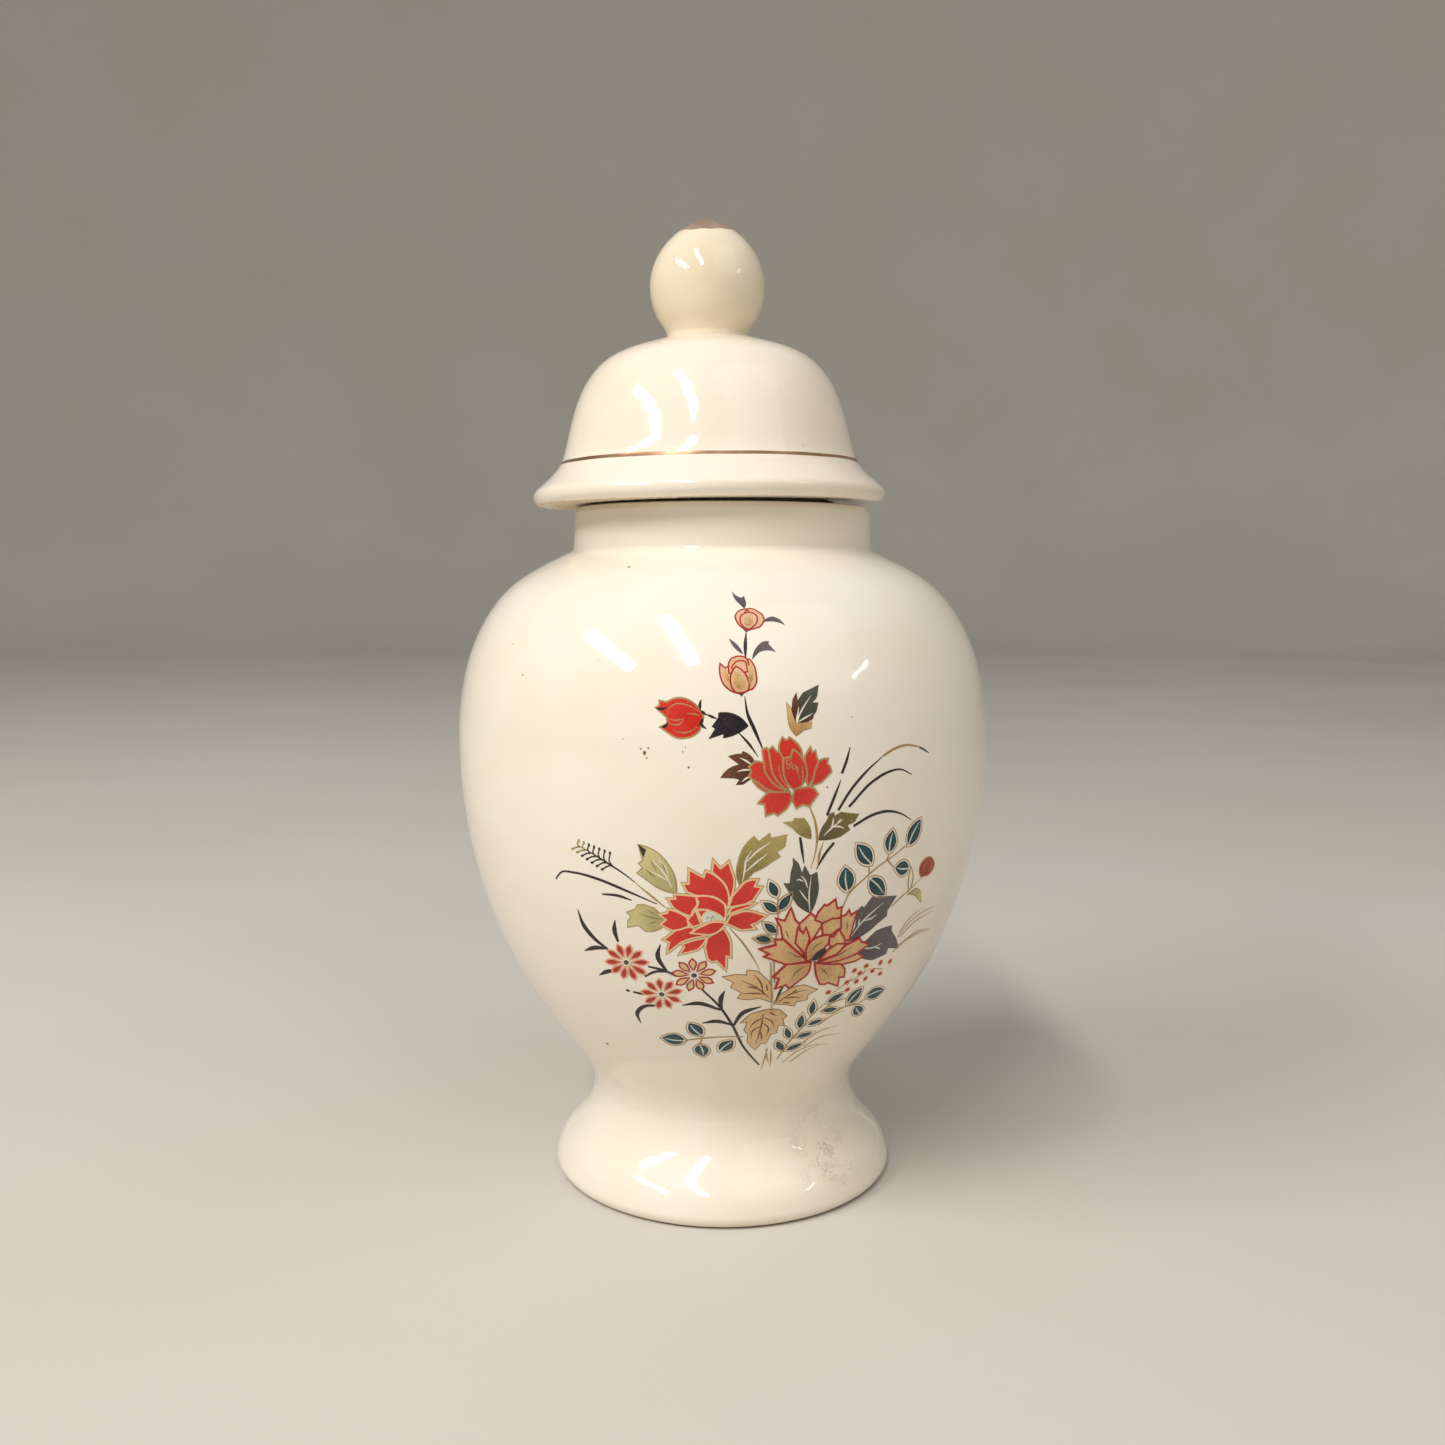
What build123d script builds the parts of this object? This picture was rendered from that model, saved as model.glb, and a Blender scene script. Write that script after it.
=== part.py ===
"""A covered ginger jar in glazed earthenware: a hollow baluster jar on a flared foot, and a domed
lid that sits loose in its mouth, with a ball knob and two touches of gold lustre.

The jar is slip-cast, so one wall thickness follows the outside all the way down into the foot.
+Z is up, the origin is the centre of the foot ring on the table, and sizes are in millimetres.
"""

from build123d import *
import os

os.makedirs("parts", exist_ok=True)

# --- Driving dimensions -------------------------------------------------------------------------
# Jar, outside
FOOT_R, HEEL = 46.0, 3.0  # widest part of the foot, and the round under it
WAIST_R, WAIST_Z = 35.35, 24.0
BELLY_R, BELLY_Z = 70.25, 118.0
NECK_FOOT_R, NECK_FOOT_Z = 39.5, 169.1
CREASE, CREASE_TURN = 1.4, 62.0  # the tight hollow at the foot of the neck, and how far it turns
MOUTH_R, MOUTH_Z = 39.1, 179.6
# Jar, inside and under the foot
WALL, THROAT_R = 4.6, 34.6
SHOULDER_ROUND, SHOULDER_Z = 4.0, 166.0
FLOOR_Z, FOLLOW_Z = 8.0, 11.5  # the floor, and the height on the outside that its edge lies behind
RING_IN_R, RECESS = 38.5, 3.0  # inner edge of the unglazed ring it stands on, and the hollow in it
LIP_ROUND, RING_ROUND = 1.7, 0.8

# Lid: the rim stands over the mouth, and the locating flange drops into the neck
SEAT_GAP = 0.3  # the rim rides on high spots of the glaze
RIM_R, RIM_ROUND, RIM_TURN = 46.5, 2.4, 140.0  # a rolled rim, and how far its round turns
FLARE_R, FLARE_Z = 39.6, 190.0  # where the flared rim turns up into the dome
PAD_R, PAD_Z = 10.8, 222.8  # flat on top of the dome that takes the knob
FLANGE_R, FLANGE_WALL, FLANGE_DEEP = 31.0, 4.0, 9.0
FLANGE_CREASE, FLANGE_LIP, FLANGE_TOP = 0.8, 1.4, 1.5  # rounds where it leaves the rim, below, and inside
HOLLOW_LOW_Z, HOLLOW_HIGH_Z = 189.0, 222.0  # the stretch of the dome that the hollow follows
VENT_R = 1.5  # hole through the dome that lets steam out of the knob in the kiln
LID_SHIFT = -3.4  # the flange is loose in the neck, and the lid lies against its left side

# Knob
COLLAR_R, COLLAR_Z = 10.7, 224.2
KNOB_R, KNOB_Z, KNOB_WALL, KNOB_MOUTH_R = 15.1, 236.8, 4.3, 6.4  # cast hollow, open at its foot
KNOB_HOLLOW_Z, TOP_Z = 252.0, 254.0  # height on the ball that the hollow follows it to, and the top

# Gold lustre: a line round the dome and a cap on the knob
LUSTRE = 0.1  # thickness of the fired film
LINE_Z, LINE_WIDE = 190.5, 1.0
UNDER_LINE = 2.0  # how far the ring that is trimmed to the line starts inside the dome
CAP_Z = 250.6

seat_z = MOUTH_Z + SEAT_GAP
lid_plane = Plane(origin=(LID_SHIFT, 0, 0), x_dir=(1, 0, 0), z_dir=(0, -1, 0))
lid_axis = Axis((LID_SHIFT, 0, 0), (0, 0, 1))


def beside(curve, distance, first=0.0, last=1.0, count=16):
    """Points at a distance to the left of a curve; left is the clay side of an outline that climbs."""
    points = []
    for i in range(count + 1):
        u = first + (last - first) * i / count
        along = curve % u
        points.append(curve @ u + Vector(-along.Y, along.X) * distance)
    return points


def at_height(curve, z):
    """Where along a climbing curve it reaches height z, found by halving the span."""
    low, high = 0.0, 1.0
    for _ in range(40):
        middle = (low + high) / 2
        low, high = (middle, high) if (curve @ middle).Y < z else (low, middle)
    return low


def corner(section, r, z):
    """The corner of a section nearest to a radius and a height."""
    return section.vertices().sort_by_distance((r, z, 0))[0]


# --- Jar ----------------------------------------------------------------------------------------
with BuildLine() as jar_outline:
    heel = JernArc(start=(FOOT_R - HEEL, 0), tangent=(1, 0), radius=HEEL, arc_size=90)
    neck = Line((MOUTH_R, MOUTH_Z), (NECK_FOOT_R, NECK_FOOT_Z))
    crease = JernArc(start=neck @ 1, tangent=neck % 1, radius=CREASE, arc_size=CREASE_TURN)
    jar_wall = Spline(
        heel @ 1,
        (44.2, 8),
        (40.8, 12),
        (37.8, 16),
        (WAIST_R, WAIST_Z),
        (42.6, 38),
        (57.0, 60),
        (67.4, 90),
        (BELLY_R, BELLY_Z),
        (66.7, 142),
        (56.8, 158),
        (48.1, 164),
        crease @ 1,
        tangents=((0, 1), -(crease % 1)),
        tangent_scalars=(0.5, 0.5),
    )

with BuildPart() as jar_body:
    with BuildSketch(Plane.XZ) as jar_section:
        with BuildLine():
            add(jar_outline.line)
            # Inside, a wall's thickness behind the outline, from the throat down into the foot
            throat = Polyline(neck @ 0, (THROAT_R, MOUTH_Z), (THROAT_R, SHOULDER_Z))
            under_shoulder = JernArc(start=throat @ 1, tangent=(0, -1), radius=SHOULDER_ROUND,
                                     arc_size=CREASE_TURN)
            inner = beside(jar_wall, WALL, first=at_height(jar_wall, FOLLOW_Z))
            inner_wall = Spline(*inner[:-1], under_shoulder @ 1)
            # The floor, and the hollow under it that leaves a ring to stand on
            Polyline(inner_wall @ 0, (inner[0].X, FLOOR_Z), (0, FLOOR_Z), (0, RECESS), (RING_IN_R, RECESS),
                     (RING_IN_R, 0), heel @ 0)
        make_face()
        for r, z, rounding in (
            (MOUTH_R, MOUTH_Z, LIP_ROUND),
            (THROAT_R, MOUTH_Z, LIP_ROUND),
            (RING_IN_R, 0, RING_ROUND),
            (RING_IN_R, RECESS, RING_ROUND),
        ):
            fillet(corner(jar_section, r, z), rounding)
    revolve(axis=Axis.Z)
jar_body.part.label = "jar_body"
export_step(jar_body.part, "parts/jar_body.step")

# --- Lid ----------------------------------------------------------------------------------------
with BuildLine() as lid_outline:
    rim = JernArc(start=(RIM_R - RIM_ROUND, seat_z), tangent=(1, 0), radius=RIM_ROUND,
                  arc_size=RIM_TURN)
    dome = Spline(
        rim @ 1,
        (41.2, 188),
        (FLARE_R, FLARE_Z),
        (37.5, 196),
        (35.4, 204),
        (31.8, 212),
        (28.5, 216),
        (21.6, 220),
        (15.2, 222),
        (PAD_R, PAD_Z),
        tangents=(rim % 1, (-6, 1)),
    )

with BuildPart() as lid:
    with BuildSketch(lid_plane) as lid_section:
        with BuildLine():
            add(lid_outline.line)
            # Under the dome, the hollow opens down through the flange, and up through the vent
            under = beside(dome, WALL, first=at_height(dome, HOLLOW_LOW_Z), last=at_height(dome, HOLLOW_HIGH_Z))
            under_dome = Spline(*under)
            flange_in_r, flange_z = FLANGE_R - FLANGE_WALL, seat_z - FLANGE_DEEP
            Polyline(rim @ 0, (FLANGE_R, seat_z), (FLANGE_R, flange_z), (flange_in_r, flange_z),
                     (flange_in_r, seat_z + WALL), (under[0].X, seat_z + WALL), under_dome @ 0)
            Polyline(under_dome @ 1, (VENT_R, under[-1].Y), (VENT_R, PAD_Z), dome @ 1)
        make_face()
        for r, z, rounding in (
            (FLANGE_R, seat_z, FLANGE_CREASE),
            (FLANGE_R, flange_z, FLANGE_LIP),
            (flange_in_r, flange_z, FLANGE_LIP),
            (flange_in_r, seat_z + WALL, FLANGE_TOP),
        ):
            fillet(corner(lid_section, r, z), rounding)
    revolve(axis=lid_axis)
lid.part.label = "lid"
export_step(lid.part, "parts/lid.step")

# --- Knob ---------------------------------------------------------------------------------------
with BuildLine() as knob_outline:
    collar = Line((PAD_R, PAD_Z), (COLLAR_R, COLLAR_Z))
    ball = Spline(
        collar @ 1,
        (12.9, 228),
        (14.5, 232),
        (KNOB_R, KNOB_Z),
        (14.0, 242),
        (10.1, 248),
        (5.0, 252),
        (0, TOP_Z),
        tangents=((0.3, 1), (-3, 1)),
    )

with BuildPart() as knob:
    with BuildSketch(lid_plane):
        with BuildLine():
            add(knob_outline.line)
            Polyline(ball @ 1, (0, PAD_Z), collar @ 0)
        make_face()
    revolve(axis=lid_axis)
    # Cast hollow, and open at the foot where it is luted on the dome
    with BuildSketch(lid_plane):
        with BuildLine():
            inner = beside(ball, KNOB_WALL, last=at_height(ball, KNOB_HOLLOW_Z))
            inner_ball = Spline(*inner)
            Polyline(inner_ball @ 1, (0, inner[-1].Y), (0, PAD_Z), (KNOB_MOUTH_R, PAD_Z), inner_ball @ 0)
        make_face()
    revolve(axis=lid_axis, mode=Mode.SUBTRACT)
knob.part.label = "knob"
export_step(knob.part, "parts/knob.step")

# --- Gold lustre: each film lies on its piece and follows it ---------------------------------------
with BuildPart() as lid_gold_line:
    with BuildSketch(lid_plane):
        with BuildLine():
            low, high = at_height(dome, LINE_Z - LINE_WIDE / 2), at_height(dome, LINE_Z + LINE_WIDE / 2)
            face_of_line = Spline(*beside(dome, -LUSTRE, low, high, 4))
            behind = FLARE_R - UNDER_LINE
            Polyline(face_of_line @ 1, (behind, (face_of_line @ 1).Y), (behind, (face_of_line @ 0).Y),
                     face_of_line @ 0)
        make_face()
    revolve(axis=lid_axis)
    add(lid.part, mode=Mode.SUBTRACT)
lid_gold_line.part.label = "lid_gold_line"
export_step(lid_gold_line.part, "parts/lid_gold_line.step")

with BuildPart() as knob_gold_tip:
    with BuildSketch(lid_plane):
        with BuildLine():
            over = beside(ball, -LUSTRE, first=at_height(ball, CAP_Z), count=8)
            face_of_cap = Spline(*over[:-1], (0, TOP_Z + LUSTRE))
            Polyline(face_of_cap @ 1, (0, (face_of_cap @ 0).Y), face_of_cap @ 0)
        make_face()
    revolve(axis=lid_axis)
    add(knob.part, mode=Mode.SUBTRACT)
knob_gold_tip.part.label = "knob_gold_tip"
export_step(knob_gold_tip.part, "parts/knob_gold_tip.step")
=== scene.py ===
# %% [markdown]
# # A covered ginger jar
#
# The real jar is two pieces of slip-cast earthenware under one ivory glaze: a baluster jar on a flared
# foot, and a domed lid with a ball knob that stands loose in its mouth. Two touches of gold lustre and a
# spray of flowers, fired on as a transfer print, are its only decoration.
#
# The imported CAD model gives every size. This lesson cuts a section through each CAD piece, turns that
# section again as a fine mesh with the small unevenness of real pottery, and then makes the glaze, the
# gold and the print. Lengths are in metres, as in the frame; the print is laid out in millimetres.

import math

import bmesh
import bpy
import numpy as np
from mathutils import Matrix, Vector, geometry


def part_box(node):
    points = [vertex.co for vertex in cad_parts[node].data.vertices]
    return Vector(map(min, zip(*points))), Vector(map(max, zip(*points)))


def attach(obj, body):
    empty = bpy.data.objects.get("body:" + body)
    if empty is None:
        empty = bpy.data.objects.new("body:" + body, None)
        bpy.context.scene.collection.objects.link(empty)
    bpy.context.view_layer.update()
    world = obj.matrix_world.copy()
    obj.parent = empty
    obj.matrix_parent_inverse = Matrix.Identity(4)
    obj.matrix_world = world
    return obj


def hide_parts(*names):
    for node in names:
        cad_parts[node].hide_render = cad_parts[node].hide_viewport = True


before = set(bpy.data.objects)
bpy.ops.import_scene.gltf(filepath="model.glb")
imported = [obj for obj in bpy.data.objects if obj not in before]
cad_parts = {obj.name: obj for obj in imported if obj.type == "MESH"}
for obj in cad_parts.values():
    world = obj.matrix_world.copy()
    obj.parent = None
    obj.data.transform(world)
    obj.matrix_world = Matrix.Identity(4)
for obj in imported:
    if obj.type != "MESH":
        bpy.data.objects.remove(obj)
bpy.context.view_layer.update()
MM = 0.001

# %% [markdown]
# ## Camera
#
# The camera stands close, a little below the lid's rim, and looks slightly down. A short lens this near
# makes the perspective strong: the foot is seen from above while the knob is seen from below.

# %% Camera
CAMERA_BACK = 370.6 * MM
CAMERA_HEIGHT = 162.4 * MM
CAMERA_TILT = math.radians(6.23)
SENSOR_WIDTH = 36.0  # this and the lens are in millimetres, as on a real camera
LENS = 34.2

camera_data = bpy.data.cameras.new("camera")
camera_data.sensor_width = SENSOR_WIDTH
camera_data.lens = LENS
camera_data.clip_start = 10 * MM
camera = bpy.data.objects.new("camera", camera_data)
camera.location = (0, -CAMERA_BACK, CAMERA_HEIGHT)
camera.rotation_euler = (math.pi / 2 - CAMERA_TILT, 0, 0)
bpy.context.scene.collection.objects.link(camera)
bpy.context.scene.camera = camera
bpy.context.scene.view_settings.view_transform = "Standard"
print("camera", tuple(round(v, 4) for v in camera.location), "lens", camera_data.lens)

# %% [markdown]
# ## Sections
#
# A turned piece is known from its half section: radius against height. Each CAD node is cut by a plane
# through its axis, and the cut edge is walked from one end to the other. The CAD mesh has straight
# chords, so the walk is then drawn again as a smooth curve through the same corners. A subdivision
# modifier on the CAD mesh would round its crisp edges too, and would keep its uneven triangles.

# %% Cut a half section out of a CAD node
CUT_ANGLE = 0.4  # radians, off the mesh's own seam
ON_AXIS = 0.001 * MM  # a smaller radius counts as none
SAME_CORNER = 0.0001 * MM


def half_section(node, middle_x=0.0):
    """Radius and height along the cut edge of a turned node, in order, climbing on the outside."""
    bm = bmesh.new()
    bm.from_mesh(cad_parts[node].data)
    bmesh.ops.remove_doubles(bm, verts=bm.verts, dist=SAME_CORNER)
    outward = Vector((math.sin(CUT_ANGLE), -math.cos(CUT_ANGLE), 0))
    across = Vector((math.cos(CUT_ANGLE), math.sin(CUT_ANGLE), 0))
    middle = Vector((middle_x, 0, 0))
    everything = bm.verts[:] + bm.edges[:] + bm.faces[:]
    cut = bmesh.ops.bisect_plane(bm, geom=everything, plane_co=middle, plane_no=across)
    edges = [e for e in cut["geom_cut"] if isinstance(e, bmesh.types.BMEdge)]
    beside, place = {}, {}
    for edge in edges:
        for here, there in (edge.verts, reversed(edge.verts)):
            beside.setdefault(here, []).append(there)
            place[here] = ((here.co - middle).dot(outward), here.co.z)

    def walk(start, second):
        path = [start, second]
        while place[path[-1]][0] >= 0:
            onward = [v for v in beside[path[-1]] if v is not path[-2]]
            if not onward or onward[0] is start:
                break
            path.append(onward[0])
        return path

    start = max(place, key=lambda v: place[v][0])
    one_way = walk(start, beside[start][0])
    closed = start in beside[one_way[-1]] and len(one_way) > 2
    path = one_way if closed else walk(start, beside[start][1])[:0:-1] + one_way
    points = np.array([place[v] for v in path])
    bm.free()
    for end, inner in ((0, 1), (-1, -2)):  # stop exactly on the axis
        if points[end, 0] < 0:
            share = points[inner, 0] / (points[inner, 0] - points[end, 0])
            points[end] = points[inner] + (points[end] - points[inner]) * share
    points[points[:, 0] < ON_AXIS, 0] = 0.0
    if closed:
        points = np.vstack([points, points[:1]])
    widest = points[:, 0].argmax()
    after = points[(widest + 1) % len(points), 1]
    return points if after > points[widest, 1] else points[::-1]


# %% Smooth the sections


def smooth(points, step):
    """The same outline with more corners, on a smooth curve through the ones it has."""
    points = points[np.insert(np.hypot(*np.diff(points, axis=0).T) > ON_AXIS, 0, True)]
    before = np.vstack([2 * points[0] - points[1], points[:-1]])
    after = np.vstack([points[1:], 2 * points[-1] - points[-2]])
    gap_before = np.hypot(*(points - before).T)[:, None]
    gap_after = np.hypot(*(after - points).T)[:, None]
    slope = ((points - before) / gap_before * gap_after + (after - points) / gap_after * gap_before)
    slope /= gap_before + gap_after
    made = [points[:1]]
    for i in range(len(points) - 1):
        gap = gap_after[i, 0]
        count = max(1, math.ceil(gap / step))
        t = (np.arange(count) + 1)[:, None] / count
        made.append(
            points[i] * (1 + 2 * t) * (1 - t) ** 2 + slope[i] * gap * t * (1 - t) ** 2
            + points[i + 1] * t * t * (3 - 2 * t) + slope[i + 1] * gap * t * t * (t - 1)
        )
    return np.vstack(made)


lid_low, lid_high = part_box("lid")
LID_X = (lid_low.x + lid_high.x) / 2
JAR_STEP, LID_STEP, KNOB_STEP = 2.0 * MM, 1.5 * MM, 1.2 * MM  # the longest edges along the sections
jar_section = smooth(half_section("jar_body"), JAR_STEP)
lid_section = smooth(half_section("lid", LID_X), LID_STEP)
knob_section = smooth(half_section("knob", LID_X), KNOB_STEP)
for name, line in (("jar", jar_section), ("lid", lid_section), ("knob", knob_section)):
    print(name, "section:", len(line), "corners, widest radius", round(line[:, 0].max() / MM, 2), "mm")

# %% [markdown]
# ## Turning the sections
#
# Slip-cast pottery is never quite round: the wall shrinks unevenly in the kiln and the rim sags a little.
# Each section is turned in small steps, and every ring is pushed in or out by a fraction of a millimetre
# on a few slow waves. The lid's rim also lifts and dips, as a fired rim does. Sine waves are used rather
# than random numbers, so that the jar comes out the same each time.

# %% The small unevenness
RIPPLE = 0.10 * MM
RIM_WARP = 0.22 * MM
RIM_STARTS = 41 * MM  # the warp grows from this radius out,
RIM_WIDTH = 5 * MM    # and is full this much further
STEADY = 10 * MM      # nearer the axis than this the ripple fades out


def ripple(azimuth, height):
    """How far the wall stands out from true round, in metres."""
    wave = np.sin(2 * azimuth + 23 * height + 0.7) + 0.6 * np.sin(3 * azimuth - 31 * height)
    return RIPPLE * (wave + 0.4 * np.sin(5 * azimuth + 47 * height + 2.0))


def round_place(azimuth, radius, height, middle_x=0.0):
    """The place on a turned piece, azimuth 0 facing the camera and growing towards +X."""
    wide = radius + ripple(azimuth, height) * np.clip(radius / STEADY, 0, 1)
    place = [middle_x + wide * np.sin(azimuth), -wide * np.cos(azimuth), height + 0 * azimuth]
    place = np.stack(place, -1)
    if middle_x:
        out = np.clip((radius - RIM_STARTS) / RIM_WIDTH, 0, 1)
        place[..., 2] += RIM_WARP * out * (np.sin(2 * azimuth + 1.1) + 0.6 * np.sin(5 * azimuth))
    return place


height_of_belly = jar_section[jar_section[:, 0].argmax(), 1]
waves = ripple(np.linspace(-math.pi, math.pi, 181), height_of_belly) / MM
print("the belly is out of round by", round(float(waves.max() - waves.min()), 2), "mm")

# %% Turn a section into a closed mesh
SHARP = 0.7  # radians between two faces that keep a crisp edge
SAME_PLACE = 0.00001 * MM
JAR_TURNS, LID_TURNS, KNOB_TURNS = 320, 288, 192  # steps in a full turn


def mesh_piece(name, points, faces, sharp=SHARP):
    """A new object in the frame from points in metres, smooth except at edges sharper than this."""
    mesh = bpy.data.meshes.new(name)
    mesh.from_pydata([tuple(p) for p in points], [], faces)
    bm = bmesh.new()
    bm.from_mesh(mesh)
    bmesh.ops.remove_doubles(bm, verts=bm.verts, dist=SAME_PLACE)
    bmesh.ops.dissolve_degenerate(bm, edges=bm.edges, dist=SAME_PLACE)
    bmesh.ops.recalc_face_normals(bm, faces=bm.faces)
    bm.to_mesh(mesh)
    bm.free()
    mesh.shade_smooth()
    mesh.set_sharp_from_angle(angle=sharp)
    piece = bpy.data.objects.new(name, mesh)
    bpy.context.scene.collection.objects.link(piece)
    return piece


def ring_faces(rows, steps, around=False):
    """Quads between rows of points, each row a full ring; around joins the last row to the first."""
    faces = []
    for row in range(rows if around else rows - 1):
        here, there = row * steps, (row + 1) % rows * steps
        for step in range(steps):
            after = (step + 1) % steps
            faces.append((here + step, here + after, there + after, there + step))
    return faces


def turned(name, section, steps, middle_x=0.0, settle=None):
    """Turn a half section about its axis; an open section starts and ends on the axis."""
    azimuth = np.linspace(-math.pi, math.pi, steps, endpoint=False)
    rings = round_place(azimuth[None, :], section[:, :1], section[:, 1:], middle_x)
    if settle:
        rings = settle(rings)
    return mesh_piece(name, rings.reshape(-1, 3), ring_faces(len(section), steps))


# %% [markdown]
# ## The jar
#
# The body is one turned piece: flared foot, narrow waist, round belly, shoulder and a short neck, hollow
# inside to a thick floor. Only the ring it stands on is bare clay. One closed mesh carries the outside,
# the rim and the hollow, so the wall has its real thickness wherever light or the eye gets in.

# %% The jar's shell
jar_shell = turned("jar_shell", jar_section, JAR_TURNS)
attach(jar_shell, "jar")
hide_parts("jar_body")
print("jar shell:", len(jar_shell.data.polygons), "faces")

# %% [markdown]
# ## The lid and its knob
#
# The lid's flange is looser than the mouth, so a lid put down by hand ends up off centre and resting on
# one side. The lid, its knob and their gold are turned about the lid's own axis, then tipped together
# about the point where the rim meets the mouth, which opens a thin dark gap on the other side.

# %% Tip the lid onto one side of the mouth
LEAN = math.radians(0.6)
mouth_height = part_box("jar_body")[1].z
CONTACT_X = LID_X - 37.4 * MM  # the left of the mouth's edge, under the lid


def leaned(points):
    """The points of a lid piece after the lid has tipped to its left about its contact point."""
    x, z = points[..., 0] - CONTACT_X, points[..., 2] - mouth_height
    tipped = points.copy()
    tipped[..., 0] = CONTACT_X + x * math.cos(LEAN) - z * math.sin(LEAN)
    tipped[..., 2] = mouth_height + x * math.sin(LEAN) + z * math.cos(LEAN)
    return tipped


lid_shell = turned("lid_shell", lid_section, LID_TURNS, LID_X, leaned)
knob_ball = turned("knob_ball", knob_section, KNOB_TURNS, LID_X, leaned)
for piece, node in ((lid_shell, "lid"), (knob_ball, "knob")):
    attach(piece, "lid")
    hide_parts(node)
    print(piece.name, len(piece.data.polygons), "faces")

# %% [markdown]
# ## Gold brushwork
#
# The gold is liquid lustre, brushed on the fired glaze while the lid turns on a wheel. A brushed line
# swells and thins, and the dab on the knob ends in an uneven edge. Each is a thin skin over the lid, laid
# along the same outline, whose two edges wander. A mask in the glaze's material could colour the same
# band, but a skin keeps its edge crisp up close and can be given another finish by itself.

# %% Lay a brushed band on a turned piece
GOLD_SKIN = 0.06 * MM
THINNED = 0.12 * MM  # the line has shrunk this much at each edge in the firing
LINE_WANDER, TIP_WANDER = 0.06 * MM, 0.22 * MM
TIP_DIP = 2.0 * MM
BAND_ROWS = 6
TIP_TURNS = 160


def outside_of(section):
    """The outer face of a section from its highest point down, as length run, radius and height."""
    widest = section[:, 0].argmax()
    top = section[:, 1].argmax()
    down = section[min(top, widest):max(top, widest) + 1]
    down = down if down[0, 1] > down[-1, 1] else down[::-1]
    run = np.insert(np.cumsum(np.hypot(*np.diff(down, axis=0).T)), 0, 0.0)
    return run, down[:, 0], down[:, 1]


def brushed_band(name, section, first, last, wander, steps=LID_TURNS, dip=0.0):
    """A thin gold skin between two lengths down a lid piece's outside, with edges that wander.

    The lower edge comes down by the dip at the front, and rises by as much at the back.
    """
    run, radius, height = outside_of(section)
    azimuth = np.linspace(-math.pi, math.pi, steps, endpoint=False)
    slow = np.sin(3 * azimuth + 0.4) + 0.7 * np.sin(7 * azimuth + 1.0) + 0.5 * np.sin(17 * azimuth)
    start = np.maximum(first + wander * slow * (first > 0), 0)
    loose = np.sin(2 * azimuth + 2.2) + 0.8 * np.sin(11 * azimuth)
    stop = last + dip * np.cos(azimuth) + wander * loose
    share = np.linspace(0, 1, BAND_ROWS)[:, None]
    along = start + (stop - start) * share
    wide = np.interp(along, run, radius)
    tall = np.interp(along, run, height)
    face_out = np.gradient(radius, run), np.gradient(height, run)
    out_r = -np.interp(along, run, face_out[1])
    out_z = np.interp(along, run, face_out[0])
    skins = []
    for lift in (GOLD_SKIN, -GOLD_SKIN / 3):
        skins.append(leaned(round_place(azimuth, wide + out_r * lift, tall + out_z * lift, LID_X)))
    points = np.vstack([skins[0].reshape(-1, 3), skins[1][::-1].reshape(-1, 3)])
    return mesh_piece(name, points, ring_faces(2 * BAND_ROWS, steps, around=True))


def run_at(section, z):
    """The length down a piece's outside to a height."""
    run, _, height = outside_of(section)
    return float(np.interp(-z, -height, run))


line_low, line_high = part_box("lid_gold_line")
line_start = run_at(lid_section, line_high.z) + THINNED
line_stop = run_at(lid_section, line_low.z) - THINNED
gold_line = brushed_band("gold_line", lid_section, line_start, line_stop, LINE_WANDER)
tip_stop = run_at(knob_section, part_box("knob_gold_tip")[0].z)
gold_tip = brushed_band("gold_tip", knob_section, 0.0, tip_stop, TIP_WANDER, TIP_TURNS, TIP_DIP)
for piece, node in ((gold_line, "lid_gold_line"), (gold_tip, "knob_gold_tip")):
    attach(piece, "lid")
    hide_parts(node)

# %% [markdown]
# ## The flower spray: how the print is made
#
# The flowers are a transfer: enamel colours screened onto gummed paper, slid onto the glaze and fired. So
# the drawing is flat, and takes the jar's curve when it is laid on. It is drawn here the same way, in
# millimetres on a flat sheet: x runs to the right of the front's middle line, y runs up along the wall
# from the widest ring. `on_jar` then lays any point of the sheet on the pot.
#
# Each colour area becomes a thin closed skin of enamel rather than a painted texture, so that its edges
# stay crisp up close and catch the light as a raised print does.

# %% Lay the flat sheet on the jar
SKIN = 0.03    # millimetres of enamel above the glaze
LAYER = 0.010  # and this much more for each colour printed over another
ROOT = 0.02    # the skin's underside is this far inside the glaze

widest = int(jar_section[:, 0].argmax())
foot_edge = int(jar_section[:widest, 1].argmin())
mouth_edge = int(jar_section[:, 1].argmax())
wall = jar_section[foot_edge:mouth_edge + 1] / MM
wall_run = np.insert(np.cumsum(np.hypot(*np.diff(wall, axis=0).T)), 0, 0.0)
wall_run -= wall_run[widest - foot_edge]
print("the sheet covers", [round(float(v), 1) for v in (wall_run[0], wall_run[-1])], "mm up the wall")


def on_jar(flat, height):
    """Places in metres for points of the flat sheet, this many millimetres above the glaze."""
    run = flat[:, 1]
    radius, tall = np.interp(run, wall_run, wall[:, 0]), np.interp(run, wall_run, wall[:, 1])
    slope_r = np.interp(run, wall_run, np.gradient(wall[:, 0], wall_run))
    slope_z = np.interp(run, wall_run, np.gradient(wall[:, 1], wall_run))
    azimuth = flat[:, 0] / radius
    return round_place(azimuth, (radius + slope_z * height) * MM, (tall - slope_r * height) * MM)


# %% [markdown]
# A closed skin needs a top, an underside and the wall between. All skins of one colour are gathered here
# and joined to one piece at the end. The distance from the heart of a petal or leaf is kept on every
# point as `tone`, so that the colour can deepen towards the heart.

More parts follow.
